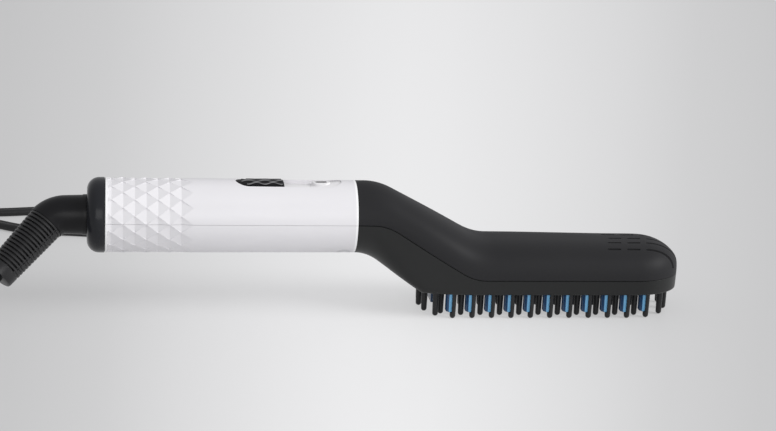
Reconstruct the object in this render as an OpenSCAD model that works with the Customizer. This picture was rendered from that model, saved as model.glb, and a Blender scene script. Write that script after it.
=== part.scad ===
// Heated comb for beard and hair: a hollow handle, a cranked neck and a flat comb head.
// X runs along the length, the tips of the teeth stand on z = 0, Y is across the comb.

/* [Handle] */
// Length of the white handle shells
handle_len = 86.5; // [84:0.5:100]
// Outer radius of the handle at the cord end
handle_rear_r = 13; // [12.6:0.1:14]
// Outer radius of the handle at the neck
handle_front_r = 12.65; // [12.4:0.05:13.2]
// Wall of the handle shells
handle_wall = 1.8; // [1.4:0.1:2.2]
// Height of the handle's axis above the tips of the teeth
axis_height = 32.6; // [31:0.2:37]

/* [End cap] */
// Length of the cap behind the handle
cap_len = 6.2; // [5.6:0.1:9]
// Rounding of the cap's rear corner
cap_round = 4.2; // [2:0.1:4.6]
// Length of the cap's spigot inside the handle
cap_spigot_len = 5; // [4:0.5:7]

/* [Neck and head] */
// Length of the neck, from the handle to the base of the head
neck_len = 22.1; // [19:0.5:26]
// Length of the base of the head
head_len = 95.2; // [90:1:116]
// Width of the head at the parting line
head_w = 35; // [34:0.5:40]
// Wall of the head's cover and frame
head_wall = 1.8; // [1.4:0.1:2.2]
// Height of the lower frame, from its bottom edge to the parting line
frame_depth = 5.45; // [5:0.1:7]
// Height of the cover above the parting line
cover_height = 11.4; // [11:0.1:13]
// How far the frame's wall leans in from the parting line to its bottom edge
frame_lean = 0.3; // [0.1:0.1:0.6]
// Length of the black spigot inside the handle
neck_spigot_len = 8; // [7:0.5:10]

/* [Vents] */
// Width of a vent slot
vent_w = 1; // [0.6:0.1:1.4]
// Spacing of the vent rows across the head
vent_row_pitch = 5.2; // [4.6:0.1:5.4]
// Length of a short vent slot
vent_len = 5; // [3:0.1:5.6]
// Spacing of the vent columns along the head
vent_column_pitch = 7; // [6.4:0.1:7.4]
// How far each vent row starts behind its neighbour nearer the middle
vent_sweep = 1.3; // [0:0.1:1.6]

/* [Teeth] */
// Length of the guard teeth below the base
tooth_len = 8.75; // [8:0.25:12]
// Spacing of the teeth along the head
tooth_pitch = 6.95; // [6.7:0.05:7.6]
// Radius of a tooth at its tip
tooth_tip_r = 1; // [0.8:0.05:1.05]
// Radius of a tooth at its root
tooth_root_r = 1.15; // [1.05:0.05:1.2]
// Distance of the outer teeth from the edge of the base
tooth_inset = 2.2; // [2.1:0.05:2.5]
// Distance of the inner teeth from the outer teeth
inner_row_step = 3.4; // [3.2:0.1:3.8]
// Radius of the peg that holds a tooth in the plate
peg_r = 0.6; // [0.4:0.05:0.7]

/* [Heated fins] */
// Thickness of a fin along the head
fin_t = 1.9; // [1.6:0.1:2]
// Width of a fin across the head
fin_w = 3.1; // [2.6:0.1:3.2]
// Width of a fin in the centre row
centre_fin_w = 8; // [6:0.5:9]
// How far the fins stop short of the tooth tips
fin_short = 2.2; // [1.6:0.1:3]

/* [Comb plate and heater] */
// Thickness of the plate that carries the teeth
plate_t = 1.8; // [1.4:0.1:2]
// Depth of the plate's underside above the frame's edge
plate_recess = 0.3; // [0.1:0.1:0.5]
// Thickness of the heating plate
heating_plate_t = 2; // [1.6:0.1:2.4]
// Thickness of a heating stone
stone_t = 2.6; // [2.2:0.1:3]
// Length of a heating stone
stone_len = 18; // [14:1:19]
// Width of a heating stone
stone_w = 9; // [7:0.5:10]
// Thickness of the electrode sheets
electrode_t = 0.3; // [0.2:0.05:0.4]
// Thickness of the insulating film
film_t = 0.2; // [0.1:0.05:0.3]
// Thickness of the clamp sheet
clamp_t = 0.8; // [0.6:0.1:1]

/* [Switch] */
// Length of the switch window in the handle
window_len = 37.1; // [36:0.1:39]
// Width of the switch window
window_w = 10; // [9:0.25:11]
// Distance from the window's end to the end of the handle
window_margin = 5; // [4:0.1:6]
// Length of the sliding knob
slider_len = 16.6; // [15:0.1:17.4]
// Travel of the sliding knob
switch_travel = 5; // [4:0.5:6]
// Depth of the window's floor below the handle's surface
floor_depth = 1.5; // [1.4:0.05:1.6]
// Thickness of the circuit board
board_t = 1.6; // [1:0.1:1.6]

/* [Swivel and strain relief] */
// Outer radius of the swivel's collar
collar_r = 7; // [6.6:0.1:7.4]
// Radius of the swivel's journal in the cap
journal_r = 5; // [4.6:0.1:5.4]
// Radial clearance of the journal in its bore
journal_clearance = 0.06; // [0.03:0.01:0.09]
// Bend radius of the elbow
elbow_bend_r = 9; // [8:0.5:11]
// Length of the ribbed sleeve
sleeve_len = 25; // [22:0.2:26]
// Radius of the sleeve's ribs at the elbow
sleeve_root_r = 6.4; // [6:0.1:6.6]
// Radius of the sleeve's ribs at its end
sleeve_end_r = 5.5; // [5:0.1:6]
// Spacing of the ribs
rib_pitch = 1.4; // [1.3:0.05:1.6]

/* [Cord and plug] */
// Width of the flat twin cord
cord_w = 5; // [4.6:0.1:5.4]
// Thickness of the flat twin cord
cord_t = 2.8; // [2.6:0.1:3]
// Radius of a plug pin
pin_r = 2; // [1.9:0.05:2.1]
// Length of a plug pin outside the plug
pin_len = 19; // [18:0.5:20]
// Spacing of the plug pins
pin_spacing = 18.6; // [18:0.1:19.2]

/* [Hidden] */
$fn = 48;

black = "#2b2c2d";
satin_black = "#3a3a3d";
white = "#eceaee";
fin_blue = "#4a86c4";
metal = "#b9bcc0";
brass = "#c9a24a";
lead_red = "#a83a32";
board_green = "#2f6b45";
tan = "#c8a26a";

// clearances
slip = 0.1;
gap = 0.3;
eps = 0.01;

// stations along X, measured from the cap's rear face
handle_x = cap_len;
neck_x = handle_x + handle_len;
head_x = neck_x + neck_len;
total_len = head_x + head_len;

// heights
base_z = tooth_len;
parting_z = base_z + frame_depth;
crown_z = parting_z + cover_height;
plate_z = base_z + plate_recess;
plate_top_z = plate_z + plate_t;
heating_top_z = plate_top_z + heating_plate_t;
stone_z = heating_top_z + electrode_t;
film_z = stone_z + stone_t + electrode_t;
clamp_z = film_z + film_t;
clamp_top_z = clamp_z + clamp_t;
board_z = axis_height;
board_top_z = board_z + board_t;

// the head's plan: an elliptic rear end, straight sides and a round nose
half_w = head_w / 2;
base_half_w = half_w - frame_lean;
rear_round = 12;
nose_round = half_w;
nose_x = total_len - nose_round;
nose_lean = 1.4;
base_nose_x = nose_x - nose_lean + 0.3;

// A ramp from 0 to 1: parabola over the first share a and the last share b, straight between.
function ramp(t, a, b) = let (m = 1 / (1 - a / 2 - b / 2))
    t <= 0 ? 0 : t >= 1 ? 1 : t < a ? m * t * t / (2 * a)
    : t > 1 - b ? 1 - m * (1 - t) * (1 - t) / (2 * b) : m * (t - a / 2);

function span(x, x0, x1) = (x - x0) / (x1 - x0);
function round_off(t) = sqrt(max(0, 1 - t * t));
function handle_r(x) = handle_rear_r + (handle_front_r - handle_rear_r) * span(x, handle_x, neck_x);

// the neck's bends, measured from the end of the handle
crown_bend_x = neck_x + 3;
crown_bend_end = head_x + 26.7;
parting_bend_x = neck_x + 6;
parting_bend_end = head_x + 23.2;
belly_bend_x = neck_x - 0.6;
belly_bend_end = head_x + 1;
widen_end = head_x + 14;
nose_drop_x = total_len - 13;
nose_z = parting_z + 2.3;
crown_fall = 0.6;

function crown_line(x) = let (
        high = axis_height + handle_front_r,
        low = crown_z - crown_fall * ramp(span(x, crown_bend_end, nose_x), 0.3, 0.3))
    high + (low - high) * ramp(span(x, crown_bend_x, crown_bend_end), 0.22, 0.22);
function parting_line(x) = axis_height
    + (parting_z - axis_height) * ramp(span(x, parting_bend_x, parting_bend_end), 0.22, 0.22);
function belly_line(x) = let (high = axis_height - handle_front_r)
    high + (base_z - high) * ramp(span(x, belly_bend_x, belly_bend_end), 0.38, 0.02);

// outer surface, moved in by the inset t
function top_z(x, t) = x <= nose_drop_x ? crown_line(x) - t
    : nose_z + (crown_line(nose_drop_x) - t - nose_z)
        * round_off(span(x, nose_drop_x, total_len - t));
function side_y(x, t) = x <= nose_x
    ? handle_front_r - t + (half_w - handle_front_r) * ramp(span(x, neck_x, widen_end), 0.4, 0.4)
    : (half_w - t) * round_off((x - nose_x) / (nose_round - t));
function bottom_z(x, t) = max(belly_line(x) + t,
    base_z + t + (parting_z - base_z - t) * span(x, total_len - nose_lean, total_len));
function upper_power(x) = 2 + 0.7 * ramp(span(x, neck_x, widen_end), 0.4, 0.4);
function lower_power(x) = 2 + 7 * ramp(span(x, neck_x + 4, head_x + 14), 0.5, 0.3);
function rounded(c, power) = sign(c) * pow(abs(c), 2 / power);

upper_steps = 14;
lower_steps = 12;
function upper_arc(x, t) = let (p = upper_power(x), w = side_y(x, t), z0 = parting_line(x))
    [for (i = [0 : upper_steps]) let (a = 180 * i / upper_steps)
        [x, -w * rounded(cos(a), p), z0 + (top_z(x, t) - z0) * rounded(sin(a), p)]];
function lower_arc(x, t) = let (p = lower_power(x), w = side_y(x, t), z0 = parting_line(x))
    [for (i = [0 : lower_steps]) let (a = 180 * i / lower_steps, s = rounded(sin(a), p))
        [x, (w - frame_lean * s) * rounded(cos(a), p), z0 - (z0 - bottom_z(x, t)) * s]];
function whole_ring(x, t) = concat(upper_arc(x, t),
    [for (i = [1 : lower_steps - 1]) lower_arc(x, t)[i]]);

// stations of the loft: even along the neck and head, closer round the nose
function stations(x0, t) = concat(
    [x0, for (i = [1 : 10]) neck_x + (crown_bend_end - neck_x) * i / 10],
    [for (i = [1 : 3]) crown_bend_end + (nose_x - crown_bend_end) * i / 3],
    [for (a = [15 : 15 : 75]) nose_x + (nose_round - t) * sin(a)],
    [nose_x + (nose_round - t) * sin(85)]);

// A closed solid through rings of the same number of points.
module loft(rings) {
    n = len(rings[0]);
    count = len(rings);
    points = [for (ring = rings) for (p = ring) p];
    sides = [for (k = [0 : count - 2]) for (i = [0 : n - 1]) let (j = (i + 1) % n)
        each [[k * n + i, k * n + j, (k + 1) * n + j],
              [k * n + i, (k + 1) * n + j, (k + 1) * n + i]]];
    first = [[for (i = [n - 1 : -1 : 0]) i]];
    last = [[for (i = [0 : n - 1]) (count - 1) * n + i]];
    polyhedron(points, concat(sides, first, last));
}

module outer_upper() { loft([for (x = stations(neck_x, 0)) upper_arc(x, 0)]); }
module outer_lower() { loft([for (x = stations(neck_x, 0)) lower_arc(x, 0)]); }
module inner_space(t) { loft([for (x = stations(neck_x - 1, t)) whole_ring(x, t)]); }

// plan of the base, moved in by the inset t
function base_outline(t) = concat(
    [for (a = [90 : 10 : 270])
        [head_x + rear_round + (rear_round - t) * cos(a), (base_half_w - t) * sin(a)]],
    [for (a = [-90 : 10 : 90])
        [base_nose_x + (nose_round - t) * cos(a), (base_half_w - t) * sin(a)]]);
module base_prism(t, z0, z1) {
    translate([0, 0, z0]) linear_extrude(z1 - z0) polygon(base_outline(t));
}

// a cylinder along X, and a box by its low corner and size
module rod_x(x, len, r, r2 = -1) {
    translate([x, 0, axis_height]) rotate([0, 90, 0])
        cylinder(r1 = r, r2 = r2 < 0 ? r : r2, h = len);
}
module half_space(upper) {
    translate([-50, -60, upper ? axis_height : axis_height - 120])
        cube([total_len + 100, 120, 120]);
}
// an oblong with round ends, standing along Z
module oblong(x0, x1, w, z0, z1) {
    translate([0, 0, z0]) {
        translate([x0 + w / 2, -w / 2, 0]) cube([x1 - x0 - w, w, z1 - z0]);
        for (x = [x0 + w / 2, x1 - w / 2]) translate([x, 0, 0]) cylinder(r = w / 2, h = z1 - z0);
    }
}

// ---------------------------------------------------------------- handle

window_x1 = neck_x - window_margin;
window_x0 = window_x1 - window_len;
inner_r = handle_front_r - handle_wall;
case_screw_x = neck_x - neck_spigot_len / 2;
case_screw_y = 5.5;
screw_r = 1.15;
screw_head_r = 2.3;
screw_head_h = 1.2;
case_boss_r = 2.9;
screw_hole_r = screw_r + 0.15;
rail_h = 3;
bezel_lip = 1.2;
board_x0 = handle_x + cap_spigot_len + 10;
board_x1 = neck_x - neck_spigot_len - 1;
board_half_w = inner_r - 1.2;
spigot_r = inner_r - slip;
spigot_wall = 1.5;
// where the screw's head seats inside the lower handle shell
screw_seat_z = axis_height - sqrt(pow(handle_front_r, 2) - pow(case_screw_y + screw_head_r, 2)) + 0.3;

module handle_tube() {
    difference() {
        rod_x(handle_x, handle_len, handle_rear_r, handle_front_r);
        rod_x(handle_x - 1, handle_len + 2, handle_rear_r - handle_wall, inner_r);
    }
}

module at_case_screws(z) {
    for (side = [-1, 1]) translate([case_screw_x, side * case_screw_y, z]) children();
}

module handle_upper_shell() {
    color(white) translate([origin_x, 0, 0]) difference() {
        intersection() {
            handle_tube();
            half_space(true);
        }
        oblong(window_x0, window_x1, window_w, axis_height + 6, axis_height + 20);
    }
}

module handle_lower_shell() {
    color(white) translate([origin_x, 0, 0]) difference() {
        intersection() {
            union() {
                handle_tube();
                intersection() {
                    rod_x(board_x0, board_x1 - board_x0, handle_rear_r - 1, handle_front_r - 1);
                    for (side = [-1, 1])
                        translate([board_x0, side > 0 ? board_half_w - 1.3 : -board_half_w - 8.7,
                                axis_height - rail_h])
                            cube([board_x1 - board_x0, 10, rail_h]);
                }
            }
            half_space(false);
        }
        at_case_screws(0) cylinder(r = screw_hole_r, h = axis_height);
        at_case_screws(0) cylinder(r = screw_head_r + slip, h = screw_seat_z);
    }
}

// ---------------------------------------------------------------- cap and swivel

journal_bore_r = journal_r + journal_clearance;
collar_recess = 0.5;
bearing_len = 4;
clip_x = collar_recess + bearing_len + gap;
clip_t = 1;
journal_end_x = clip_x + clip_t + 1.2;
clip_groove_r = journal_r - 0.8;

module end_cap() {
    spigot_x = handle_x + cap_spigot_len;
    color(black) translate([origin_x, 0, 0]) difference() {
        translate([0, 0, axis_height]) rotate([0, 90, 0]) rotate_extrude($fn = 64) polygon(concat(
            [[0, 0]],
            [for (a = [0 : 10 : 90])
                [handle_rear_r - cap_round + cap_round * sin(a), cap_round - cap_round * cos(a)]],
            [[handle_rear_r, handle_x], [handle_rear_r - handle_wall - slip, handle_x],
             [handle_rear_r - handle_wall - slip, spigot_x],
             [handle_rear_r - handle_wall - 1.6, spigot_x],
             [handle_rear_r - handle_wall - 1.6, collar_recess + bearing_len],
             [0, collar_recess + bearing_len]]));
        rod_x(-1, 20, journal_bore_r);
        rod_x(-1, 1 + collar_recess, collar_r + gap);
    }
}

// the elbow's two straight axes meet at the corner; at rest its bend leans towards the front
elbow_corner_x = -11.2;
elbow_angle = 50;
swivel_turn = 35;
elbow_straight = -elbow_corner_x - elbow_bend_r * tan(elbow_angle / 2);
elbow_r = collar_r - 0.3;
sleeve_x = -elbow_straight - elbow_bend_r * sin(elbow_angle);
sleeve_z = axis_height - elbow_bend_r * (1 - cos(elbow_angle));
sleeve_plug_len = 3;
sleeve_plug_r = 4;
sleeve_drop = axis_height - sleeve_z + sleeve_len * sin(elbow_angle);
sleeve_end = [sleeve_x - sleeve_len * cos(elbow_angle), -sleeve_drop * sin(swivel_turn),
    axis_height - sleeve_drop * cos(swivel_turn)];
sleeve_way = [-cos(elbow_angle), -sin(elbow_angle) * sin(swivel_turn),
    -sin(elbow_angle) * cos(swivel_turn)];

// the model's origin lies under the middle of the comb, from the sleeve's lower edge to the nose
origin_x = -(total_len + sleeve_end[0] - sleeve_end_r * sin(elbow_angle)) / 2;

// turns children about the swivel's axis to their rest position
module turned() {
    translate([0, 0, axis_height]) rotate([-swivel_turn, 0, 0]) translate([0, 0, -axis_height])
        children();
}
// places children so that +Z runs down the sleeve, with the origin at its root
module at_sleeve() {
    turned() translate([sleeve_x, 0, sleeve_z]) rotate([0, -90 - elbow_angle, 0]) children();
}

module swivel_elbow() {
    color(black) translate([origin_x, 0, 0]) difference() {
        union() {
            rod_x(collar_recess - gap - eps, journal_end_x - collar_recess + gap, journal_r);
            rod_x(-elbow_straight, elbow_straight + collar_recess - gap, elbow_r, collar_r);
            turned() translate([-elbow_straight, 0, axis_height - elbow_bend_r])
                rotate([90, 0, 0]) rotate([0, 0, 90]) rotate_extrude(angle = elbow_angle)
                    translate([elbow_bend_r, 0]) circle(r = elbow_r);
        }
        difference() {
            rod_x(clip_x - slip, clip_t + 2 * slip, journal_r + 2);
            rod_x(clip_x - 1, clip_t + 2, clip_groove_r);
        }
        at_sleeve() translate([0, 0, -sleeve_plug_len]) cylinder(r = sleeve_plug_r, h = 10);
    }
}

module swivel_clip() {
    color(metal) translate([origin_x, 0, 0]) difference() {
        rod_x(clip_x, clip_t, journal_r + 1.6);
        rod_x(clip_x - 1, clip_t + 2, clip_groove_r + eps);
        translate([clip_x - 1, -clip_groove_r * 0.8, axis_height])
            cube([clip_t + 2, clip_groove_r * 1.6, 20]);
    }
}

ring_contact_r = 4.2;
ring_contact_t = 1.5;
centre_contact_r = 1.4;
centre_contact_len = 4;
module swivel_contacts() {
    color(brass) translate([origin_x, 0, 0]) {
        difference() {
            rod_x(journal_end_x, ring_contact_t, ring_contact_r);
            rod_x(journal_end_x - 1, ring_contact_t + 2, ring_contact_r - 1.2);
        }
        rod_x(journal_end_x, centre_contact_len, centre_contact_r);
    }
}

block_x = journal_end_x + centre_contact_len + gap;
block_len = 3;
module contact_block() {
    color(satin_black) translate([origin_x, 0, 0]) difference() {
        rod_x(block_x, block_len, handle_r(block_x + block_len) - handle_wall - slip);
        for (y = [-5.5, 5.5]) translate([block_x - 1, y, axis_height]) rotate([0, 90, 0])
            cylinder(r = 1, h = block_len + 2);
    }
}

finger_x = journal_end_x + ring_contact_t + gap;
module contact_fingers() {
    color(brass) translate([origin_x, 0, 0]) {
        translate([finger_x, -1, axis_height + ring_contact_r - 1.4])
            cube([block_x - finger_x, 2, 1.2]);
        translate([block_x - gap + 0.1, -1.2, axis_height - 1.2]) cube([gap - 0.1, 2.4, 2.4]);
    }
}

module strain_relief() {
    ring_len = 3.6;
    rib_zone = sleeve_len - ring_len;
    rib_t = rib_pitch * 0.55;
    core_drop = 1.1;
    color(black) translate([origin_x, 0, 0]) at_sleeve() {
        translate([0, 0, -sleeve_plug_len]) cylinder(r = sleeve_plug_r - slip, h = sleeve_plug_len + eps);
        cylinder(r1 = sleeve_root_r - core_drop, r2 = sleeve_end_r - core_drop, h = sleeve_len - 1);
        for (i = [0 : floor(rib_zone / rib_pitch) - 1]) translate([0, 0, i * rib_pitch])
            cylinder(r = sleeve_root_r + (sleeve_end_r - sleeve_root_r) * i * rib_pitch / sleeve_len,
                h = rib_t);
        translate([0, 0, rib_zone]) cylinder(r = sleeve_end_r, h = ring_len);
    }
}

// ---------------------------------------------------------------- head shells

vent_x = nose_x - 8;
vent_rows = 5;
module vents() {
    for (row = [0 : vent_rows - 1]) let (out = row - (vent_rows - 1) / 2)
    translate([-abs(out) * vent_sweep, out * vent_row_pitch, 0]) {
        for (column = [0, 1]) let (x = vent_x + column * vent_column_pitch)
            oblong(x, x + vent_len, vent_w, parting_z + 3, crown_z + 5);
        oblong(vent_x + 2 * vent_column_pitch, total_len + 5, vent_w, parting_z + 2.8, crown_z + 5);
    }
}

// the part of the neck's spigot above or below the parting plane
module neck_spigot(upper) {
    intersection() {
        union() {
            difference() {
                rod_x(neck_x - neck_spigot_len, neck_spigot_len + 2.5, spigot_r);
                rod_x(neck_x - neck_spigot_len - 1, neck_spigot_len + 5, spigot_r - spigot_wall);
            }
            intersection() {
                rod_x(neck_x - neck_spigot_len, neck_spigot_len, spigot_r);
                at_case_screws(0) cylinder(r = case_boss_r, h = 2 * axis_height);
            }
        }
        half_space(upper);
        // room for the end of the bezel
        difference() {
            half_space(upper);
            translate([0, -window_w / 2 - bezel_lip - gap, axis_height + 7])
                cube([window_x1 + bezel_lip + gap, window_w + 2 * bezel_lip + 2 * gap, 20]);
        }
    }
}

module head_upper_cover() {
    color(satin_black) translate([origin_x, 0, 0]) difference() {
        union() {
            difference() {
                outer_upper();
                inner_space(head_wall);
                vents();
            }
            neck_spigot(true);
        }
        at_case_screws(axis_height - 1) cylinder(r = screw_r + 0.03, h = 7);
    }
}

module head_lower_frame() {
    color(black) translate([origin_x, 0, 0]) difference() {
        union() {
            difference() {
                union() {
                    outer_lower();
                    base_prism(0, base_z, base_z + 3);
                }
                inner_space(head_wall);
                base_prism(base_wall, base_z - 1, plate_top_z);
            }
            neck_spigot(false);
        }
        at_case_screws(0) cylinder(r = screw_hole_r, h = axis_height + 1);
        at_case_screws(0) cylinder(r = screw_head_r + slip, h = screw_seat_z);
    }
}

module case_screws() {
    color(metal) translate([origin_x, 0, 0]) at_case_screws(screw_seat_z) {
        cylinder(r = screw_r, h = axis_height + 5 - screw_seat_z);
        difference() {
            translate([0, 0, -screw_head_h]) cylinder(r = screw_head_r, h = screw_head_h);
            for (a = [0, 90]) rotate([0, 0, a])
                translate([-1.3, -0.25, -screw_head_h - 1]) cube([2.6, 0.5, 1.6]);
        }
    }
}

// ---------------------------------------------------------------- comb plate and teeth

base_wall = 0.75;
tooth_y = base_half_w - tooth_inset;
row_x0 = head_x + rear_round;
row_count = floor((base_nose_x - row_x0) / tooth_pitch) + 1;
row_x1 = row_x0 + (row_count - 1) * tooth_pitch;
rear_a = rear_round - tooth_inset;
nose_a = nose_round - tooth_inset - nose_lean / 2;

// a fine line along half the outer row's path, and the point at a distance along a line
function rear_path() = [for (a = [180 : -2 : 90]) [row_x0 + rear_a * cos(a), tooth_y * sin(a)]];
function nose_path() = concat([[row_x1, tooth_y]],
    [for (a = [90 : -2 : 0]) [base_nose_x + nose_a * cos(a), tooth_y * sin(a)]]);
function line_len(p, i = 0) = i >= len(p) - 1 ? 0 : norm(p[i + 1] - p[i]) + line_len(p, i + 1);
function along(p, s, i = 0) = let (d = norm(p[i + 1] - p[i]))
    s <= d || i >= len(p) - 2 ? p[i] + (p[i + 1] - p[i]) * s / d : along(p, s - d, i + 1);

rear_count = round(line_len(rear_path()) / tooth_pitch);
rear_step = line_len(rear_path()) / rear_count;
nose_count = round(line_len(nose_path()) / tooth_pitch - 0.5);
nose_step = line_len(nose_path()) / (nose_count + 0.5);

// teeth of one side, without the one at the rear's centre
side_teeth = concat(
    [for (i = [1 : rear_count - 1]) along(rear_path(), i * rear_step)],
    [for (i = [0 : row_count - 1]) [row_x0 + i * tooth_pitch, tooth_y]],
    [for (i = [1 : nose_count]) along(nose_path(), i * nose_step)]);
guarded_count = row_count + 1;
guarded_teeth = [for (i = [0 : guarded_count - 1])
    i < row_count ? [row_x0 + i * tooth_pitch, tooth_y] : side_teeth[rear_count - 1 + row_count]];
plain_teeth = concat(
    [[row_x0 - rear_a, 0]],
    [for (i = [0 : rear_count - 2]) each mirrored(side_teeth[i])],
    [for (i = [rear_count + row_count : len(side_teeth) - 1]) each mirrored(side_teeth[i])]);
inner_teeth = [for (i = [0 : row_count]) let (x = row_x0 + (i - 0.5) * tooth_pitch)
    each mirrored([x, (tooth_y - inner_row_step)
        * (x < row_x0 ? round_off((row_x0 - x) / (rear_a - inner_row_step)) : 1)
        * (x > base_nose_x ? round_off((x - base_nose_x) / (nose_a - inner_row_step)) : 1)])];
centre_teeth = [for (i = [0 : row_count]) [row_x0 + (i - 0.5) * tooth_pitch + tooth_pitch / 4, 0]];
function mirrored(p) = [p, [p[0], -p[1]]];

// the fins stand just behind their guard teeth, whose shafts are cut back to clear them
notch_x = 0.35;
guard_peg_x = 0.5;
fin_gap = 0.1;
function fin_place(tooth) = tooth[0] - notch_x - fin_gap - fin_t;
fin_edge_y = tooth_y + fin_t / 2 - 0.45;
centre_fin_x = [for (i = [0 : row_count]) row_x0 + (i - 0.75) * tooth_pitch];

module tooth(len) {
    translate([0, 0, tooth_tip_r]) {
        sphere(r = tooth_tip_r, $fn = 24);
        cylinder(r1 = tooth_tip_r, r2 = tooth_root_r, h = len - tooth_tip_r, $fn = 24);
    }
}
module plain_tooth() {
    tooth(plate_z);
    translate([0, 0, plate_z - eps]) cylinder(r = peg_r, h = plate_t - 0.2, $fn = 24);
}
module guard_tooth() {
    difference() {
        tooth(plate_z);
        translate([-5 - notch_x, -5, fin_short]) cube([5, 10, 20]);
    }
    translate([guard_peg_x, 0, plate_z - eps]) cylinder(r = peg_r, h = plate_t - 0.2, $fn = 24);
}

// A fin with a round edge towards the outside, seen from above: width along +Y.
module fin_plan(w, t) {
    translate([0, w - t / 2]) circle(r = t / 2, $fn = 32);
    translate([-t / 2, 0]) square([t, w - t / 2]);
}
module at_fins(grow) {
    for (tooth = guarded_teeth) for (side = [0, 1]) mirror([0, side, 0])
        translate([fin_place(tooth) + fin_t / 2, fin_edge_y - fin_w - grow])
            fin_plan(fin_w + 2 * grow, fin_t + 2 * grow);
    for (x = centre_fin_x) translate([x - fin_t / 2 - grow, -centre_fin_w / 2 - grow])
        square([fin_t + 2 * grow, centre_fin_w + 2 * grow]);
}

module comb_plate() {
    color(black) translate([origin_x, 0, plate_z]) linear_extrude(plate_t) difference() {
        polygon(base_outline(base_wall + slip));
        at_fins(slip);
        for (p = concat(plain_teeth, inner_teeth, centre_teeth))
            translate(p) circle(r = peg_r + slip, $fn = 24);
        for (p = guarded_teeth) for (q = mirrored(p))
            translate(q + [guard_peg_x, 0]) circle(r = peg_r + slip, $fn = 24);
    }
}

module outer_bristles() {
    color(black) translate([origin_x, 0, 0]) {
        for (p = plain_teeth) translate(p) plain_tooth();
        for (p = guarded_teeth) for (q = mirrored(p)) translate(q) guard_tooth();
    }
}
module inner_bristles() {
    color(black) translate([origin_x, 0, 0]) for (p = inner_teeth) translate(p) plain_tooth();
}
module centre_bristles() {
    color(black) translate([origin_x, 0, 0]) for (p = centre_teeth) translate(p) plain_tooth();
}
module heating_fins() {
    color(fin_blue) translate([origin_x, 0, fin_short])
        linear_extrude(plate_top_z - fin_short) at_fins(0);
}

// ---------------------------------------------------------------- heater

heater_inset = 4.2;
heater_x = (head_x + rear_round + base_nose_x) / 2;
stone_gap = 1.5;
stone_step = stone_len + stone_gap;
heater_half_len = stone_step + stone_len / 2;
electrode_tab = 1;
clamp_end = 7;
clamp_side = 4.5;
clamp_half_len = heater_half_len + clamp_end;
clamp_screw_x = clamp_half_len - clamp_end / 2;
clamp_half_w = stone_w / 2 + clamp_side;
clamp_screw_y = clamp_half_w - clamp_side / 2 - gap;
clamp_post_r = clamp_side / 2 - slip;
clamp_screw_r = 1;
clamp_screw_head_r = 1.9;
clamp_screw_head_h = 1.2;

module at_clamp_screws(z) {
    for (sx = [-1, 1]) for (sy = [-1, 1])
        translate([heater_x + sx * clamp_screw_x, sy * clamp_screw_y, z]) children();
}

module heating_plate() {
    color(metal) translate([origin_x, 0, 0]) difference() {
        base_prism(heater_inset, plate_top_z, heating_top_z);
        at_clamp_screws(0) cylinder(r = clamp_screw_r + 0.03, h = 30);
    }
}
// a flat piece centred on the heater, by half length, half width, height and thickness
module heater_sheet(half_len, half_w, z, t) {
    translate([origin_x + heater_x - half_len, -half_w, z]) cube([2 * half_len, 2 * half_w, t]);
}
module electrode_plates() {
    color(brass) for (z = [heating_top_z, stone_z + stone_t])
        heater_sheet(heater_half_len + electrode_tab, stone_w / 2, z, electrode_t);
}
module ptc_heater() {
    color("#8b8d90") for (i = [-1 : 1]) translate([i * stone_step, 0, 0])
        heater_sheet(stone_len / 2, stone_w / 2, stone_z, stone_t);
}
module insulating_film() {
    color(tan) heater_sheet(heater_half_len + electrode_tab, stone_w / 2 + gap, film_z, film_t);
}
module heater_clamp() {
    color(metal) difference() {
        union() {
            heater_sheet(clamp_half_len, clamp_half_w, clamp_z, clamp_t);
            translate([origin_x, 0, 0]) at_clamp_screws(heating_top_z)
                cylinder(r = clamp_post_r, h = clamp_z - heating_top_z + eps);
        }
        translate([origin_x, 0, 0]) at_clamp_screws(0)
            cylinder(r = clamp_screw_r + slip, h = clamp_top_z + 1);
    }
}
module clamp_screws() {
    tip_z = plate_top_z + slip;
    color(metal) translate([origin_x, 0, 0]) {
        at_clamp_screws(tip_z) cylinder(r = clamp_screw_r, h = clamp_top_z - tip_z + eps);
        at_clamp_screws(clamp_top_z) cylinder(r = clamp_screw_head_r, h = clamp_screw_head_h);
    }
}
shield_gap = 1.5;
shield_t = 0.6;
shield_post_r = 1.2;
module heat_shield() {
    post_x = clamp_screw_x - 2 * clamp_screw_head_r;
    post_y = clamp_half_w - 2 * shield_post_r;
    color(tan) {
        heater_sheet(post_x + 2 * shield_post_r, clamp_half_w - shield_post_r,
            clamp_top_z + shield_gap, shield_t);
        for (sx = [-1, 1]) for (sy = [-1, 1])
            translate([origin_x + heater_x + sx * post_x, sy * post_y, clamp_top_z])
                cylinder(r = shield_post_r, h = shield_gap + eps);
    }
}
sensor_y = clamp_half_w + 1.9;
module thermal_fuse() {
    color(metal) translate([origin_x + heater_x - 18, sensor_y, heating_top_z + 1.6]) rotate([0, 90, 0])
        cylinder(r = 1.6, h = 11);
}
module temperature_sensor() {
    color("#7a4a2a") translate([origin_x + heater_x + 6, -sensor_y, heating_top_z + 1.2])
        rotate([0, 90, 0]) cylinder(r = 1.2, h = 5);
}

// ---------------------------------------------------------------- cord sweep, shared by the leads

// A tube with an oval section of half width a and half height b along a list of points.
cord_sides = 8;
function tangent(p, i) = let (v = p[min(i + 1, len(p) - 1)] - p[max(i - 1, 0)]) v / norm(v);
function oval_ring(c, t, a, b) = let (s = cross([0, 0, 1], t), side = s / norm(s), up = cross(t, side))
    [for (k = [0 : cord_sides - 1]) let (q = 360 * (k + 0.5) / cord_sides, f = 1 / cos(22.5))
        c + side * a * f * cos(q) + up * b * f * sin(q)];
module oval_tube(p, a, b) {
    loft([for (i = [len(p) - 1 : -1 : 0]) oval_ring(p[i], tangent(p, i), a, b)]);
}

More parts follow.
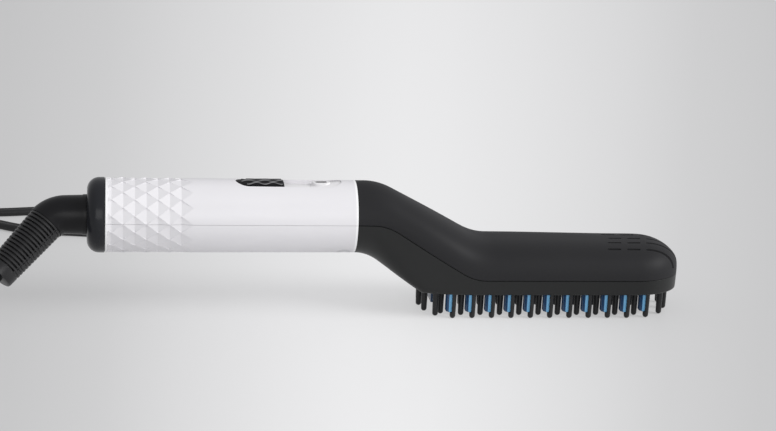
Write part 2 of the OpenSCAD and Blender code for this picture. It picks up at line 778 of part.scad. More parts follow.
lead_r = 0.7;
lead_y = 4;
boss_lead_y = case_screw_y - case_boss_r - lead_r - 2 * slip;
tab_y = 2.4;
module heater_leads() {
    tab_x = heater_x - heater_half_len - electrode_tab;
    clamp_x = heater_x - clamp_half_len;
    board_lead_z = board_top_z + lead_r + slip;
    color(lead_red) translate([origin_x, 0, 0]) for (side = [-1, 1])
        let (end_z = side > 0 ? stone_z + lead_r : stone_z + stone_t - lead_r) oval_tube([
            [board_x1 - 6 * lead_r, side * lead_y, board_lead_z],
            [board_x1 - lead_r, side * lead_y, board_lead_z],
            [case_screw_x - case_boss_r - lead_r, side * boss_lead_y, board_lead_z],
            [neck_x, side * boss_lead_y, axis_height + 2 * lead_r],
            [neck_x + neck_len * 0.44, side * boss_lead_y, parting_line(neck_x + neck_len * 0.44) - 2],
            [head_x - lead_r, side * tab_y, parting_line(head_x) - stone_t],
            [clamp_x - 3 * lead_r, side * tab_y, clamp_z - lead_r],
            [clamp_x + 3 * lead_r, side * tab_y, (end_z + clamp_z) / 2 - lead_r],
            [tab_x - lead_r, side * tab_y, end_z],
            [tab_x + electrode_tab - slip, side * tab_y, end_z]], lead_r, lead_r);
}
module supply_leads() {
    color(lead_red) translate([origin_x, 0, 0]) for (y = [-5.5, 5.5])
        translate([block_x + 0.2, y, axis_height]) {
            rotate([0, 90, 0]) cylinder(r = 0.8, h = board_x0 - block_x - 0.3);
        }
}

// ---------------------------------------------------------------- electronics and switch

slider_x0 = window_x0 + gap;
slider_mid = slider_x0 + slider_len / 2;
led_x = window_x1 - 6.65;
switch_h = 4.4;
switch_top_z = board_top_z + switch_h;
lever_len = 3;
lever_w = 2;
stem_len = 5;
stem_w = 4;
skin_r = handle_r(window_x1);
floor_r = skin_r - floor_depth;
bezel_flange_r = handle_r(window_x1 + 1.5) - handle_wall - slip;
bezel_inner_r = bezel_flange_r - 1.2;

module circuit_board() {
    color(board_green) translate([origin_x, 0, 0]) translate([board_x0, -board_half_w, board_z])
        cube([board_x1 - board_x0, 2 * board_half_w, board_t]);
}
capacitor_r = 4.2;
capacitor_len = 14;
relay = [11, 10, 6];
chip = [8, 9, 2.6];
terminal = [9, 4, 5];
part_gap = 4;
module board_parts() {
    relay_x = board_x0 + part_gap + capacitor_len + part_gap;
    color("#3c6fa0") translate([origin_x, 0, 0]) {
        translate([board_x0 + part_gap, 0, board_z - capacitor_r]) rotate([0, 90, 0])
            cylinder(r = capacitor_r, h = capacitor_len);
        translate([relay_x, -relay[1] / 2, board_z - relay[2]]) cube(relay);
        translate([relay_x + relay[0] + part_gap, -chip[1] / 2, board_z - chip[2]]) cube(chip);
        for (side = [-1, 1])
            translate([board_x0 + part_gap, side * terminal[1] * 0.8 - terminal[1] / 2, board_top_z])
                cube(terminal);
    }
}
module slide_switch() {
    len = lever_len + switch_travel + 5;
    x0 = slider_mid - lever_len / 2 - 2.5;
    color(metal) translate([origin_x, 0, 0]) difference() {
        translate([x0, -3.3, board_top_z]) cube([len, 6.6, switch_h]);
        translate([slider_mid - lever_len / 2 - gap, -lever_w / 2 - gap, board_top_z + 1])
            cube([lever_len + switch_travel + 2 * gap, lever_w + 2 * gap, switch_h]);
    }
}
module switch_lever() {
    color(satin_black) translate([origin_x, 0, 0])
        translate([slider_mid - lever_len / 2, -lever_w / 2, board_top_z + 1 + gap])
            cube([lever_len, lever_w, axis_height + floor_r - board_top_z - 2.6]);
}
module indicator_led() {
    color("#c9d6e6") translate([origin_x + led_x, 0, board_top_z]) {
        cylinder(r = 1.5, h = 3.4);
        translate([0, 0, 3.4]) sphere(r = 1.5);
    }
}

// the part of a cylinder about the handle's axis that lies under an oblong
module curved_oblong(x0, x1, w, r) {
    intersection() {
        rod_x(x0 - 5, x1 - x0 + 10, r);
        oblong(x0, x1, w, axis_height + 4, axis_height + 20);
    }
}
lens_len = 4.5;
lens_w = 1.3;
lens_rim = 1.7;
module lens_oblong(grow, r) {
    curved_oblong(led_x - lens_len / 2 - grow, led_x + lens_len / 2 + grow, lens_w + 2 * grow, r);
}
module switch_bezel() {
    color(white) translate([origin_x, 0, 0]) difference() {
        union() {
            curved_oblong(window_x0 + slip, window_x1 - slip, window_w - 2 * slip, floor_r);
            curved_oblong(window_x0 - bezel_lip, window_x1 + bezel_lip,
                window_w + 2 * bezel_lip, bezel_flange_r);
            lens_oblong(lens_rim, skin_r - 0.4);
        }
        rod_x(window_x0 - 5, window_len + 10, bezel_inner_r);
        translate([slider_mid - stem_len / 2 - gap, -stem_w / 2 - gap, axis_height])
            cube([stem_len + switch_travel + 2 * gap, stem_w + 2 * gap, 20]);
        lens_oblong(slip, 30);
    }
}
module led_lens() {
    color("#5b5053") translate([origin_x, 0, 0]) difference() {
        lens_oblong(0, skin_r - 0.5);
        rod_x(window_x0 - 5, window_len + 10, bezel_inner_r - 2);
    }
}
module switch_slider() {
    socket = 0.05;
    color(satin_black) translate([origin_x, 0, 0]) difference() {
        union() {
            difference() {
                intersection() {
                    curved_oblong(slider_x0, slider_x0 + slider_len + window_w, window_w - 2 * gap,
                        skin_r - 0.05);
                    translate([slider_x0 - 1, -20, 0]) cube([slider_len + 1, 40, 100]);
                }
                rod_x(slider_x0 - 5, slider_len + 30, floor_r + gap);
            }
            translate([slider_mid - stem_len / 2, -stem_w / 2, switch_top_z + 1])
                cube([stem_len, stem_w, axis_height + floor_r - switch_top_z]);
        }
        translate([slider_mid - lever_len / 2 - socket, -lever_w / 2 - socket, switch_top_z])
            cube([lever_len + 2 * socket, lever_w + 2 * socket,
                axis_height + floor_r - switch_top_z - 1.2]);
    }
}

// ---------------------------------------------------------------- mains cord and plug

// Route of the cord on the floor up to the coil; X counts from cord_x, Y from the middle of the comb
cord_x = -30.3;
cord_straight = 7;
cord_route = [[-11.14, -19.22, 4.79], [-18.79, -20.26, 1.99], [-26.39, -18.91, 1.4], [-33.22, -15.31, 1.4],
    [-38.62, -9.79, 1.4], [-42.08, -2.89, 1.4], [-43.27, 4.73, 1.4], [-44, 18, 1.4],
    [-44.6, 31, 1.4], [-45.2, 44, 1.4],
    [-46, 58, 1.4], [-46, 72, 1.4],
    [-44, 86, 1.4], [-38, 98, 1.4], [-29, 104.5, 1.4], [-19, 105.5, 1.4], [-11, 103, 1.4],
    [-4, 98.5, 1.4], [3, 93.5, 1.4], [13, 90, 1.4], [25, 88.5, 1.4], [37, 86, 1.4],
    [49, 83, 1.4], [61, 85, 1.4], [70, 93, 1.4], [73, 104, 1.4], [69, 115, 1.4],
    [60, 122, 1.4], [48, 125, 1.4], [35, 124, 1.4], [22, 121.5, 1.4], [9, 119, 1.4],
    [-5, 116.5, 1.4], [-19, 116, 1.4], [-33, 118, 1.4], [-48, 121, 1.4], [-62, 123.5, 1.4],
    [-74, 125.2, 1.4], [-84, 125, 1.4]];
coil_centre = [-90, 90];
coil_r = 28;
coil_columns = 4;
coil_layers = 2;

// Route from the coil to the plug
plug_route = [[-125.5, 91, 4.2], [-125.5, 82, 4.3], [-125.5, 72, 4.7], [-125.7, 62, 5.4],
    [-126, 52, 6.4], [-126, 44, 7], [-126, 38, 7]];
plug_place = [-126, 38, 7];

cord_start = sleeve_end - [cord_x, 0, 0];

module at_cord() { translate([cord_x + origin_x, 0, 0]) children(); }
module power_cord() {
    color(black) at_cord()
        oval_tube(concat([cord_start, cord_start + cord_straight * sleeve_way], cord_route),
            cord_w / 2, cord_t / 2);
}
module cord_coil() {
    w = coil_columns * cord_w + 1;
    h = coil_layers * cord_t + 0.6;
    color(black) at_cord() translate([coil_centre[0], coil_centre[1], 0]) rotate_extrude($fn = 64)
        translate([coil_r, h / 2]) {
            square([w - 3, h], center = true);
            square([w, h - 3], center = true);
            for (sx = [-1, 1]) for (sz = [-1, 1])
                translate([sx * (w / 2 - 1.5), sz * (h / 2 - 1.5)]) circle(r = 1.5);
        }
}
module cord_tie() {
    w = coil_columns * cord_w + 1.4;
    h = coil_layers * cord_t + 0.6;
    color(satin_black) at_cord() translate([coil_centre[0], coil_centre[1] - coil_r, 0]) {
        translate([-3, -w / 2 - 0.8, h + 0.02]) cube([6, w + 1.6, 0.8]);
        for (s = [-1, 1]) translate([-3, s * (w / 2 + 0.5) - 0.4, 0]) cube([6, 0.8, h + 0.1]);
    }
}
module plug_cord() {
    color(black) at_cord() oval_tube(plug_route, cord_w / 2, cord_t / 2);
}

plug_w = 34;
plug_h = 13.6;
plug_len = 30;
plug_neck_len = 14;
pin_sleeve_len = 10;
pin_core_r = 1.5;
module plug_body() {
    color(black) at_cord() translate(plug_place) rotate([90, 0, 0]) {
        cylinder(r1 = 4.2, r2 = 5.4, h = plug_neck_len);
        difference() {
            translate([0, 0, plug_neck_len - 1]) hull() {
                cylinder(r = 5.2, h = 1, $fn = 32);
                for (s = [-1, 1]) translate([s * (plug_w / 2 - 5), 0, 12]) {
                    translate([0, plug_h / 2 - 2.5, 0]) cylinder(r = 2.5, h = plug_len - 12, $fn = 24);
                    translate([0, 2.5 - plug_h / 2, 0]) cylinder(r = 2.5, h = plug_len - 12, $fn = 24);
                    translate([s * 1.2, 0, 0]) cylinder(r = 3.8, h = plug_len - 12, $fn = 24);
                }
            }
            for (s = [-1, 1]) translate([s * pin_spacing / 2, 0, plug_neck_len + plug_len - 9])
                cylinder(r = pin_core_r + slip / 2, h = 10);
        }
        for (s = [-1, 1]) translate([s * pin_spacing / 2, 0, plug_neck_len + plug_len - 1 - eps])
            difference() {
                cylinder(r = pin_r - 2 * eps, h = pin_sleeve_len);
                translate([0, 0, -1]) cylinder(r = pin_core_r + slip / 2, h = pin_sleeve_len + 2);
            }
    }
}
module plug_pins() {
    color(metal) at_cord() translate(plug_place) rotate([90, 0, 0])
        for (s = [-1, 1]) translate([s * pin_spacing / 2, 0, plug_neck_len + plug_len - 1]) {
            translate([0, 0, -7]) cylinder(r = pin_core_r, h = 7 + pin_sleeve_len + eps);
            translate([0, 0, pin_sleeve_len]) cylinder(r = pin_r, h = pin_len - pin_sleeve_len - pin_r);
            translate([0, 0, pin_len - pin_r]) sphere(r = pin_r);
        }
}

handle_upper_shell();
handle_lower_shell();
end_cap();
head_upper_cover();
head_lower_frame();
comb_plate();
outer_bristles();
inner_bristles();
centre_bristles();
heating_fins();
heating_plate();
electrode_plates();
ptc_heater();
insulating_film();
heater_clamp();
clamp_screws();
heat_shield();
thermal_fuse();
temperature_sensor();
heater_leads();
circuit_board();
board_parts();
slide_switch();
indicator_led();
led_lens();
switch_bezel();
switch_lever();
switch_slider();
case_screws();
swivel_elbow();
swivel_clip();
swivel_contacts();
contact_block();
contact_fingers();
supply_leads();
strain_relief();
power_cord();
cord_coil();
cord_tie();
plug_cord();
plug_body();
plug_pins();
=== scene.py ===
import math

import bmesh
import bpy
from mathutils import Matrix, Quaternion, Vector


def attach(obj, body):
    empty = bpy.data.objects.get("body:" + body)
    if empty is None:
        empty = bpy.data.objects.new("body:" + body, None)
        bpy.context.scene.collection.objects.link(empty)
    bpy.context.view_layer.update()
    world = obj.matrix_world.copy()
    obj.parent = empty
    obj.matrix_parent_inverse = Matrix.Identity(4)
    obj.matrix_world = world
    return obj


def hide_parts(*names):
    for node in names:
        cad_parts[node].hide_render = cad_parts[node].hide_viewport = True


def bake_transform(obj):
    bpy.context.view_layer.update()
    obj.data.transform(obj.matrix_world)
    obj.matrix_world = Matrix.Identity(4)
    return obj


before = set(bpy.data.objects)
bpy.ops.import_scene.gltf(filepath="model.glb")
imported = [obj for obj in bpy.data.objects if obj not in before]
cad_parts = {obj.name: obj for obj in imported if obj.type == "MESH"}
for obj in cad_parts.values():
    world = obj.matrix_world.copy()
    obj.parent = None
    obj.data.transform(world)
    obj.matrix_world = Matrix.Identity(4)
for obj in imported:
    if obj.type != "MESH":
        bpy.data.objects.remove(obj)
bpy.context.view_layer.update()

# Camera: a long lens a little above the comb and left of its middle, tipped by a few degrees.
# It shows the comb from the front, with the cord running out at the left.
bpy.context.scene.view_settings.view_transform = "Standard"
camera_data = bpy.data.cameras.new("camera")
camera_data.lens = 94.59
camera_data.sensor_width = 36
camera_data.clip_start = 0.01
camera_data.clip_end = 20
camera = bpy.data.objects.new("camera", camera_data)
camera.location = (-0.08393, -0.68422, 0.22002)
aim = Vector((0.01676, 0, 0.03294)) - camera.location
camera.rotation_mode = "QUATERNION"
camera.rotation_quaternion = aim.to_track_quat("-Z", "Y") @ Quaternion((0, 0, 1), math.radians(2.559))
bpy.context.collection.objects.link(camera)
bpy.context.scene.camera = camera

# Mains cord: flat twin flex with a black rubber sheath, two lobes joined by a thin web.
# It leaves the sleeve at the comb's end, lies in one loose loop and is wound into a flat coil.
mm = 0.001
axis_z = 32.6
swivel_lean, elbow_bend = math.radians(35), math.radians(50)
swivel_down = Vector((0, -math.sin(swivel_lean), -math.cos(swivel_lean)))
sleeve_way = Vector((-math.cos(elbow_bend), 0, 0)) + swivel_down * math.sin(elbow_bend)
sleeve_end = Vector((-117.877, -12.829, 14.279)) * mm
cord_origin = -118.21
cord_width = 5.0 * mm
cord_thickness = 2.8 * mm
cord_route = [
    (0.333, -12.829, 14.279), (-4.167, -15.904, 9.886), (-11.14, -19.22, 4.79), (-18.79, -20.26, 1.99),
    (-26.39, -18.91, 1.4), (-33.22, -15.31, 1.4), (-38.62, -9.79, 1.4), (-42.08, -2.89, 1.4),
    (-43.27, 4.73, 1.4), (-44, 18, 1.4), (-44.6, 31, 1.4), (-45.2, 44, 1.4),
    (-46, 58, 1.4), (-46, 72, 1.4),
    (-44, 86, 1.4), (-38, 98, 1.4), (-29, 104.5, 1.4), (-19, 105.5, 1.4), (-11, 103, 1.4),
    (-4, 98.5, 1.4), (3, 93.5, 1.4), (13, 90, 1.4), (25, 88.5, 1.4), (37, 86, 1.4),
    (49, 83, 1.4), (61, 85, 1.4), (70, 93, 1.4), (73, 104, 1.4), (69, 115, 1.4),
    (60, 122, 1.4), (48, 125, 1.4), (35, 124, 1.4), (22, 121.5, 1.4), (9, 119, 1.4),
    (-5, 116.5, 1.4), (-19, 116, 1.4), (-33, 118, 1.4), (-48, 121, 1.4), (-62, 123.5, 1.4),
    (-74, 125.2, 1.4),
]
coil_middle = (-90, 90)
coil_turns = [(35.5, 1.4), (30.5, 1.4), (25.5, 1.4), (20.5, 1.4),
              (20.5, 4.2), (25.5, 4.2), (30.5, 4.2), (35.5, 4.2)]
coil_start, coil_end = 80, 80 + 7 * 360 + 100
plug_route = [(-125.5, 82, 4.3), (-125.5, 72, 4.7), (-125.7, 62, 5.4), (-126, 52, 6.4),
              (-126, 44, 7), (-126, 38, 7)]


def wound_point(angle):
    turn = int((angle - coil_start) // 360)
    late = max(0, ((angle - coil_start) % 360 - 180) / 170)
    ease = late * late * (3 - 2 * late)
    here, after = coil_turns[turn], coil_turns[min(turn + 1, len(coil_turns) - 1)]
    radius = here[0] + (after[0] - here[0]) * ease
    height = here[1] + (after[1] - here[1]) * ease
    turned = math.radians(angle)
    return (coil_middle[0] + radius * math.cos(turned),
            coil_middle[1] + radius * math.sin(turned), height)


def smooth_line(points, step):
    """Points every step or so along the Catmull-Rom line through the given ones."""
    points = [Vector(p) for p in points]
    line = []
    for i in range(len(points) - 1):
        a, b = points[i], points[i + 1]
        before = points[i - 1] if i else a - (b - a)
        after = points[i + 2] if i + 2 < len(points) else b + (b - a)
        count = max(1, round((b - a).length / step))
        for k in range(count):
            t = k / count
            line.append(0.5 * (2 * a + (b - before) * t + (2 * before - 5 * a + 4 * b - after) * t * t
                               + (3 * a - before - 3 * b + after) * t ** 3))
    return line + [points[-1]]


def keep_piece(name, mesh, material, sharp=35):
    """The finished object, smooth but for edges sharper than the angle; sharp=0 leaves it as made."""
    if sharp:
        mesh.shade_smooth()
        mesh.set_sharp_from_angle(angle=math.radians(sharp))
    made = bpy.data.objects.new(name, mesh)
    mesh.materials.clear()
    mesh.materials.append(material)
    bpy.context.collection.objects.link(made)
    return made


def moulding_group():
    """Node group: slow colour drift and fine moulded grain, for every plastic and rubber part."""
    group = bpy.data.node_groups.new("moulded_surface", "ShaderNodeTree")
    for name, kind, direction in (
            ("Colour", "NodeSocketColor", "INPUT"), ("Drift", "NodeSocketFloat", "INPUT"),
            ("Rough", "NodeSocketFloat", "INPUT"), ("Grain size", "NodeSocketFloat", "INPUT"),
            ("Grain height", "NodeSocketFloat", "INPUT"), ("Colour", "NodeSocketColor", "OUTPUT"),
            ("Roughness", "NodeSocketFloat", "OUTPUT"), ("Normal", "NodeSocketVector", "OUTPUT")):
        group.interface.new_socket(name=name, in_out=direction, socket_type=kind)
    nodes, links = group.nodes, group.links
    given, out = nodes.new("NodeGroupInput"), nodes.new("NodeGroupOutput")
    place = nodes.new("ShaderNodeTexCoord").outputs["Object"]
    slow = nodes.new("ShaderNodeTexNoise")
    slow.inputs["Scale"].default_value = 60
    slow.inputs["Detail"].default_value = 3
    fine = nodes.new("ShaderNodeTexNoise")
    fine.inputs["Detail"].default_value = 2
    for noise in (slow, fine):
        links.new(place, noise.inputs["Vector"])
    links.new(given.outputs["Grain size"], fine.inputs["Scale"])
    # brightness = 1 + drift * (noise - 0.5)
    centred = nodes.new("ShaderNodeMath")
    centred.operation = "SUBTRACT"
    centred.inputs[1].default_value = 0.5
    links.new(slow.outputs["Fac"], centred.inputs[0])
    scaled = nodes.new("ShaderNodeMath")
    scaled.operation = "MULTIPLY_ADD"
    scaled.inputs[2].default_value = 1
    links.new(centred.outputs[0], scaled.inputs[0])
    links.new(given.outputs["Drift"], scaled.inputs[1])
    tint = nodes.new("ShaderNodeVectorMath")
    tint.operation = "SCALE"
    links.new(given.outputs["Colour"], tint.inputs[0])
    links.new(scaled.outputs[0], tint.inputs["Scale"])
    links.new(tint.outputs[0], out.inputs["Colour"])
    rough = nodes.new("ShaderNodeMath")
    rough.operation = "MULTIPLY"
    links.new(given.outputs["Rough"], rough.inputs[0])
    links.new(scaled.outputs[0], rough.inputs[1])
    links.new(rough.outputs[0], out.inputs["Roughness"])
    bump = nodes.new("ShaderNodeBump")
    bump.inputs["Strength"].default_value = 1
    height = nodes.new("ShaderNodeMath")
    height.operation = "MULTIPLY"
    links.new(fine.outputs["Fac"], height.inputs[0])
    links.new(given.outputs["Grain height"], height.inputs[1])
    links.new(height.outputs[0], bump.inputs["Height"])
    links.new(bump.outputs["Normal"], out.inputs["Normal"])
    return group


moulded_surface = moulding_group()


def moulded(name, colour, rough, drift=0.15, grain=2500, height=0.00001, coat=0, gloss=0.3):
    """Material: moulded plastic or rubber. The grain's size is in cells a metre, its height in metres."""
    made = bpy.data.materials.new(name)
    made.use_nodes = True
    nodes, links = made.node_tree.nodes, made.node_tree.links
    shader = nodes["Principled BSDF"]
    surface = nodes.new("ShaderNodeGroup")
    surface.node_tree = moulded_surface
    surface.inputs["Colour"].default_value = (*colour, 1)
    surface.inputs["Drift"].default_value = drift
    surface.inputs["Rough"].default_value = rough
    surface.inputs["Grain size"].default_value = grain
    surface.inputs["Grain height"].default_value = height
    links.new(surface.outputs["Colour"], shader.inputs["Base Color"])
    links.new(surface.outputs["Roughness"], shader.inputs["Roughness"])
    links.new(surface.outputs["Normal"], shader.inputs["Normal"])
    shader.inputs["Specular IOR Level"].default_value = gloss
    shader.inputs["Coat Weight"].default_value = coat
    shader.inputs["Coat Roughness"].default_value = 0.08
    return made


cord_points = cord_route + [wound_point(a) for a in range(coil_start, coil_end + 1, 15)] + plug_route
cord_line = [(p + Vector((cord_origin, 0, 0))) * mm for p in smooth_line(cord_points, 3)]

section_curve = bpy.data.curves.new("flex_section", "CURVE")
section_curve.dimensions = "2D"
lobe = cord_thickness / 2
lobe_middle = cord_width / 2 - lobe
outline = []
for side in (1, -1):
    for k in range(-7, 8):
        turned = math.radians(k * 18.5)
        outline.append((side * (lobe_middle + lobe * math.cos(turned)), side * lobe * math.sin(turned)))
section_line = section_curve.splines.new("POLY")
section_line.points.add(len(outline) - 1)
for point, (x, y) in zip(section_line.points, outline):
    point.co = (x, y, 0, 1)
section_line.use_cyclic_u = True
section = bpy.data.objects.new("flex_section", section_curve)
bpy.context.collection.objects.link(section)

route_curve = bpy.data.curves.new("cord_route", "CURVE")
route_curve.dimensions = "3D"
route_curve.twist_mode = "Z_UP"
route_curve.bevel_mode = "OBJECT"
route_curve.bevel_object = section
route_curve.use_fill_caps = True
route_line = route_curve.splines.new("POLY")
route_line.points.add(len(cord_line) - 1)
for point, place in zip(route_line.points, cord_line):
    point.co = (*place, 1)
route = bpy.data.objects.new("cord_route", route_curve)
bpy.context.collection.objects.link(route)
bpy.context.view_layer.update()
cord_mesh = bpy.data.meshes.new_from_object(route.evaluated_get(bpy.context.evaluated_depsgraph_get()))
for used in (route, section):
    bpy.data.objects.remove(used)
cord_rubber = moulded("cord_rubber", (0.016, 0.016, 0.017), 0.42, 0.3, 1800, 0.000012)
power_cord = keep_piece("power_cord_flex", cord_mesh, cord_rubber, 60)
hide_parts("power_cord", "cord_coil", "plug_cord")
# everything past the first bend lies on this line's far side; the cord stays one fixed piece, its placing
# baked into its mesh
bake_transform(power_cord)

# Strain relief: a soft black sleeve moulded round the cord, with thin ribs down to a plain ring
# and one spine along its inner side that keeps the ribs from spreading.
# The swivel stands turned towards the front.
sleeve_length = 25
sleeve_root = sleeve_end - sleeve_way * sleeve_length * mm
spine_turn = math.radians(25)
inner_side = Vector((math.sin(elbow_bend), 0, 0)) + swivel_down * math.cos(elbow_bend)
spine_side = Quaternion(sleeve_way, spine_turn) @ inner_side
rib_count = 15
rib_zone = sleeve_length - 3.9
rib_step = rib_zone / rib_count
notch_count, notch_step = 21, 0.95


def turned_mesh(profile, start, way, steps=64):
    """A round piece: the profile's (distance, radius) points turned about a line."""
    made = bmesh.new()
    side = way.orthogonal().normalized()
    spots = [made.verts.new(start + way * (d * mm) + side * (r * mm)) for d, r in profile]
    edges = [made.edges.new(pair) for pair in zip(spots, spots[1:])]
    bmesh.ops.spin(made, geom=spots + edges, cent=start, axis=way, dvec=(0, 0, 0),
                   angle=math.tau, steps=steps, use_merge=True)
    bmesh.ops.remove_doubles(made, verts=made.verts, dist=0.002 * mm)
    bmesh.ops.recalc_face_normals(made, faces=made.faces)
    return made


def mesh_of(made, name):
    mesh = bpy.data.meshes.new(name)
    made.to_mesh(mesh)
    made.free()
    return mesh


sleeve_profile = [(-0.3, 0), (-0.3, 6.2)]
for k in range(rib_count):
    at = k * rib_step
    r = 6.5 - 1.0 * at / sleeve_length
    sleeve_profile += [(at, r - 0.12), (at + 0.12, r), (at + rib_step * 0.6 - 0.12, r),
                       (at + rib_step * 0.6, r - 0.12), (at + rib_step * 0.66, r - 1.1),
                       (at + rib_step * 0.94, r - 1.1)]
sleeve_profile += [(rib_zone, 5.5), (rib_zone + 0.2, 5.62), (24.3, 5.5), (24.8, 5.3), (25, 4.9), (25, 0)]
sleeve = turned_mesh(sleeve_profile, sleeve_root, sleeve_way)
for first, last, width, height in ([(0, rib_zone, 3.2, 1.4)]
                                   + [(k * notch_step + 0.3, (k + 1) * notch_step, 1.9, 2.0)
                                      for k in range(notch_count)]):
    for corner in bmesh.ops.create_cube(sleeve, size=1)["verts"]:
        along = first + (last - first) * (corner.co.x + 0.5)
        corner.co = (sleeve_root + sleeve_way * along * mm
                     + sleeve_way.cross(spine_side) * corner.co.y * width * mm
                     + spine_side * (5.5 - along * 0.04 + corner.co.z * height) * mm)
bmesh.ops.recalc_face_normals(sleeve, faces=sleeve.faces)
sleeve_rubber = moulded("sleeve_rubber", (0.01, 0.01, 0.011), 0.34, 0.3, 2200, 0.00001, gloss=0.5)
strain_relief = keep_piece("ribbed_sleeve", mesh_of(sleeve, "ribbed_sleeve"), sleeve_rubber, 30)
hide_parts("strain_relief")
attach(strain_relief, "swivel")

# Swivel elbow: hard black plastic, a collar that turns in the cap and a bend of 50 degrees.
# The clip inside the cap holds its collar, and the sleeve is moulded on to its lower end.
cap_x = -87.91
cap_face = Vector((cap_x, 0, axis_z)) * mm
bend_radius, elbow_radius = 9, 6.7
elbow_straight = 11.2 - bend_radius * math.tan(elbow_bend / 2)
bend_start = cap_face - Vector((elbow_straight * mm, 0, 0))
bend_middle = bend_start + swivel_down * bend_radius * mm
elbow_profile = [(0.2, 5.0), (0.2, 7.0), (-0.2, 7.05), (-1.2, 7.05), (-1.6, 6.85),
                 (-elbow_straight, elbow_radius)]
elbow = turned_mesh(elbow_profile, cap_face, Vector((1, 0, 0)))
mouth = bmesh.ops.create_circle(elbow, cap_ends=False, segments=64, radius=elbow_radius * mm)["verts"]
bmesh.ops.rotate(elbow, verts=mouth, cent=(0, 0, 0), matrix=Matrix.Rotation(math.radians(90), 3, "Y"))
bmesh.ops.translate(elbow, verts=mouth, vec=bend_start)
mouth_edge = [e for e in elbow.edges if all(v in set(mouth) for v in e.verts)]
bmesh.ops.spin(elbow, geom=mouth + mouth_edge, cent=bend_middle, dvec=(0, 0, 0), steps=16,
               axis=swivel_down.cross(Vector((1, 0, 0))), angle=elbow_bend)
bmesh.ops.remove_doubles(elbow, verts=elbow.verts, dist=0.01 * mm)
bmesh.ops.recalc_face_normals(elbow, faces=elbow.faces)
elbow_plastic = moulded("elbow_plastic", (0.007, 0.007, 0.008), 0.34, 0.2, 2500, 0.000006, gloss=0.22)
swivel_elbow = keep_piece("swivel_elbow_shell", mesh_of(elbow, "swivel_elbow_shell"), elbow_plastic)
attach(swivel_elbow, "swivel")
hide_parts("swivel_elbow")

# End cap: glossy black plastic, a rounded rim round a slightly sunk face with the swivel's hole.
# Its spigot fits into the rear end of the two handle shells.
cap_profile = [(0.5, 5.06), (0.5, 7.3), (0, 7.3), (0, 8.4)]
cap_profile += [(4.2 - 4.2 * math.cos(math.radians(a)), 8.83 + 4.2 * math.sin(math.radians(a)))
                for a in range(0, 91, 6)]
cap_profile += [(5.7, 13.05), (6.0, 12.95), (6.05, 12.6), (6.2, 12.6), (6.2, 11.1), (11.2, 11.1),
                (11.2, 9.6), (4.5, 9.6), (4.5, 5.06), (0.5, 5.06)]
cap_gloss = moulded("cap_gloss", (0.017, 0.018, 0.021), 0.2, 0.1, 900, 0.000002, gloss=0.22)
end_cap = keep_piece("end_cap_shell", mesh_of(turned_mesh(cap_profile, cap_face, Vector((1, 0, 0)), 128),
                                              "end_cap_shell"), cap_gloss, 40)
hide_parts("end_cap")
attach(end_cap, "comb_body")

# Handle: two white satin shells meeting at mid height, with a faceted grip band at the cord end.
# Each facet is a flat triangle with its point on the handle's round surface and its base sunk in it,
# so small steps part the rows of facets. A window on top takes the switch, two pockets the screws.
handle_rear, handle_front = 6.2, 92.7
lip_end, lip_radius = 6.95, 13.02
grip_first, grip_step, grip_sides, facet_sink = 4.325, 3.955, 14, 0.26
window_rear, window_front = 50.6, 87.7
screw_x, screw_y, screw_seat = 88.7, 5.5, 22.94


def spot(x, y, z):
    """A point given in millimetres; x counts from the cap's rear face."""
    return Vector((x + cap_x, y, z)) * mm


def handle_radius(x):
    return 13.0 - 0.35 * (x - handle_rear) / (handle_front - handle_rear)


def ring(made, x, radius, count, turn=0.0):
    """A circle of points about the handle's axis, the first one at the front seam."""
    loop = bmesh.ops.create_circle(made, cap_ends=False, segments=count, radius=1)["verts"]
    for i, corner in enumerate(loop):
        turned = math.tau * (i + turn) / count
        corner.co = spot(x, -radius * math.cos(turned), axis_z + radius * math.sin(turned))
    return loop


def band(made, a, b):
    """Quads between two rings of the same number of points."""
    n = len(a)
    return [made.faces.new((a[i], a[(i + 1) % n], b[(i + 1) % n], b[i])) for i in range(n)]


def cutter(name, made, target):
    """The target mesh minus the closed shape of the cutter."""
    bodies = []
    for mesh in (target, mesh_of(made, name)):
        body = bpy.data.objects.new(name, mesh)
        bpy.context.collection.objects.link(body)
        bodies.append(body)
    cut = bodies[0].modifiers.new("cut", "BOOLEAN")
    cut.operation, cut.solver, cut.object = "DIFFERENCE", "EXACT", bodies[1]
    bpy.context.view_layer.update()
    result = bpy.data.meshes.new_from_object(
        bodies[0].evaluated_get(bpy.context.evaluated_depsgraph_get()))
    for body in bodies:
        bpy.data.objects.remove(body)
    return result


def added(made, other):
    """Both closed shapes in one mesh."""
    mesh = mesh_of(other, "part")
    made.from_mesh(mesh)
    bpy.data.meshes.remove(mesh)
    return made


def oblong(made, x0, x1, width, z0, z1, steps=16):
    """A standing prism with round ends."""
    r = width / 2
    outline = []
    for middle, start in ((x1 - r, -90), (x0 + r, 90)):
        for k in range(steps + 1):
            a = math.radians(start + 180 * k / steps)
            outline.append(made.verts.new(spot(middle + r * math.cos(a), r * math.sin(a), z0)))
    base = made.faces.new(outline)
    raised = bmesh.ops.extrude_face_region(made, geom=[base])["geom"]
    bmesh.ops.translate(made, verts=[v for v in raised if isinstance(v, bmesh.types.BMVert)],
                        vec=(0, 0, (z1 - z0) * mm))
    bmesh.ops.recalc_face_normals(made, faces=made.faces)
    return made


handle = bmesh.new()
corners = [ring(handle, grip_first + k * grip_step, handle_radius(grip_first + k * grip_step),
                grip_sides, 0 if k % 2 == 0 else 0.5) for k in range(8)]
sunk = [ring(handle, grip_first + k * grip_step, handle_radius(grip_first + k * grip_step) - facet_sink,
             grip_sides, 0 if k % 2 == 0 else 0.5) for k in range(8)]
facets, crossings = [], {}


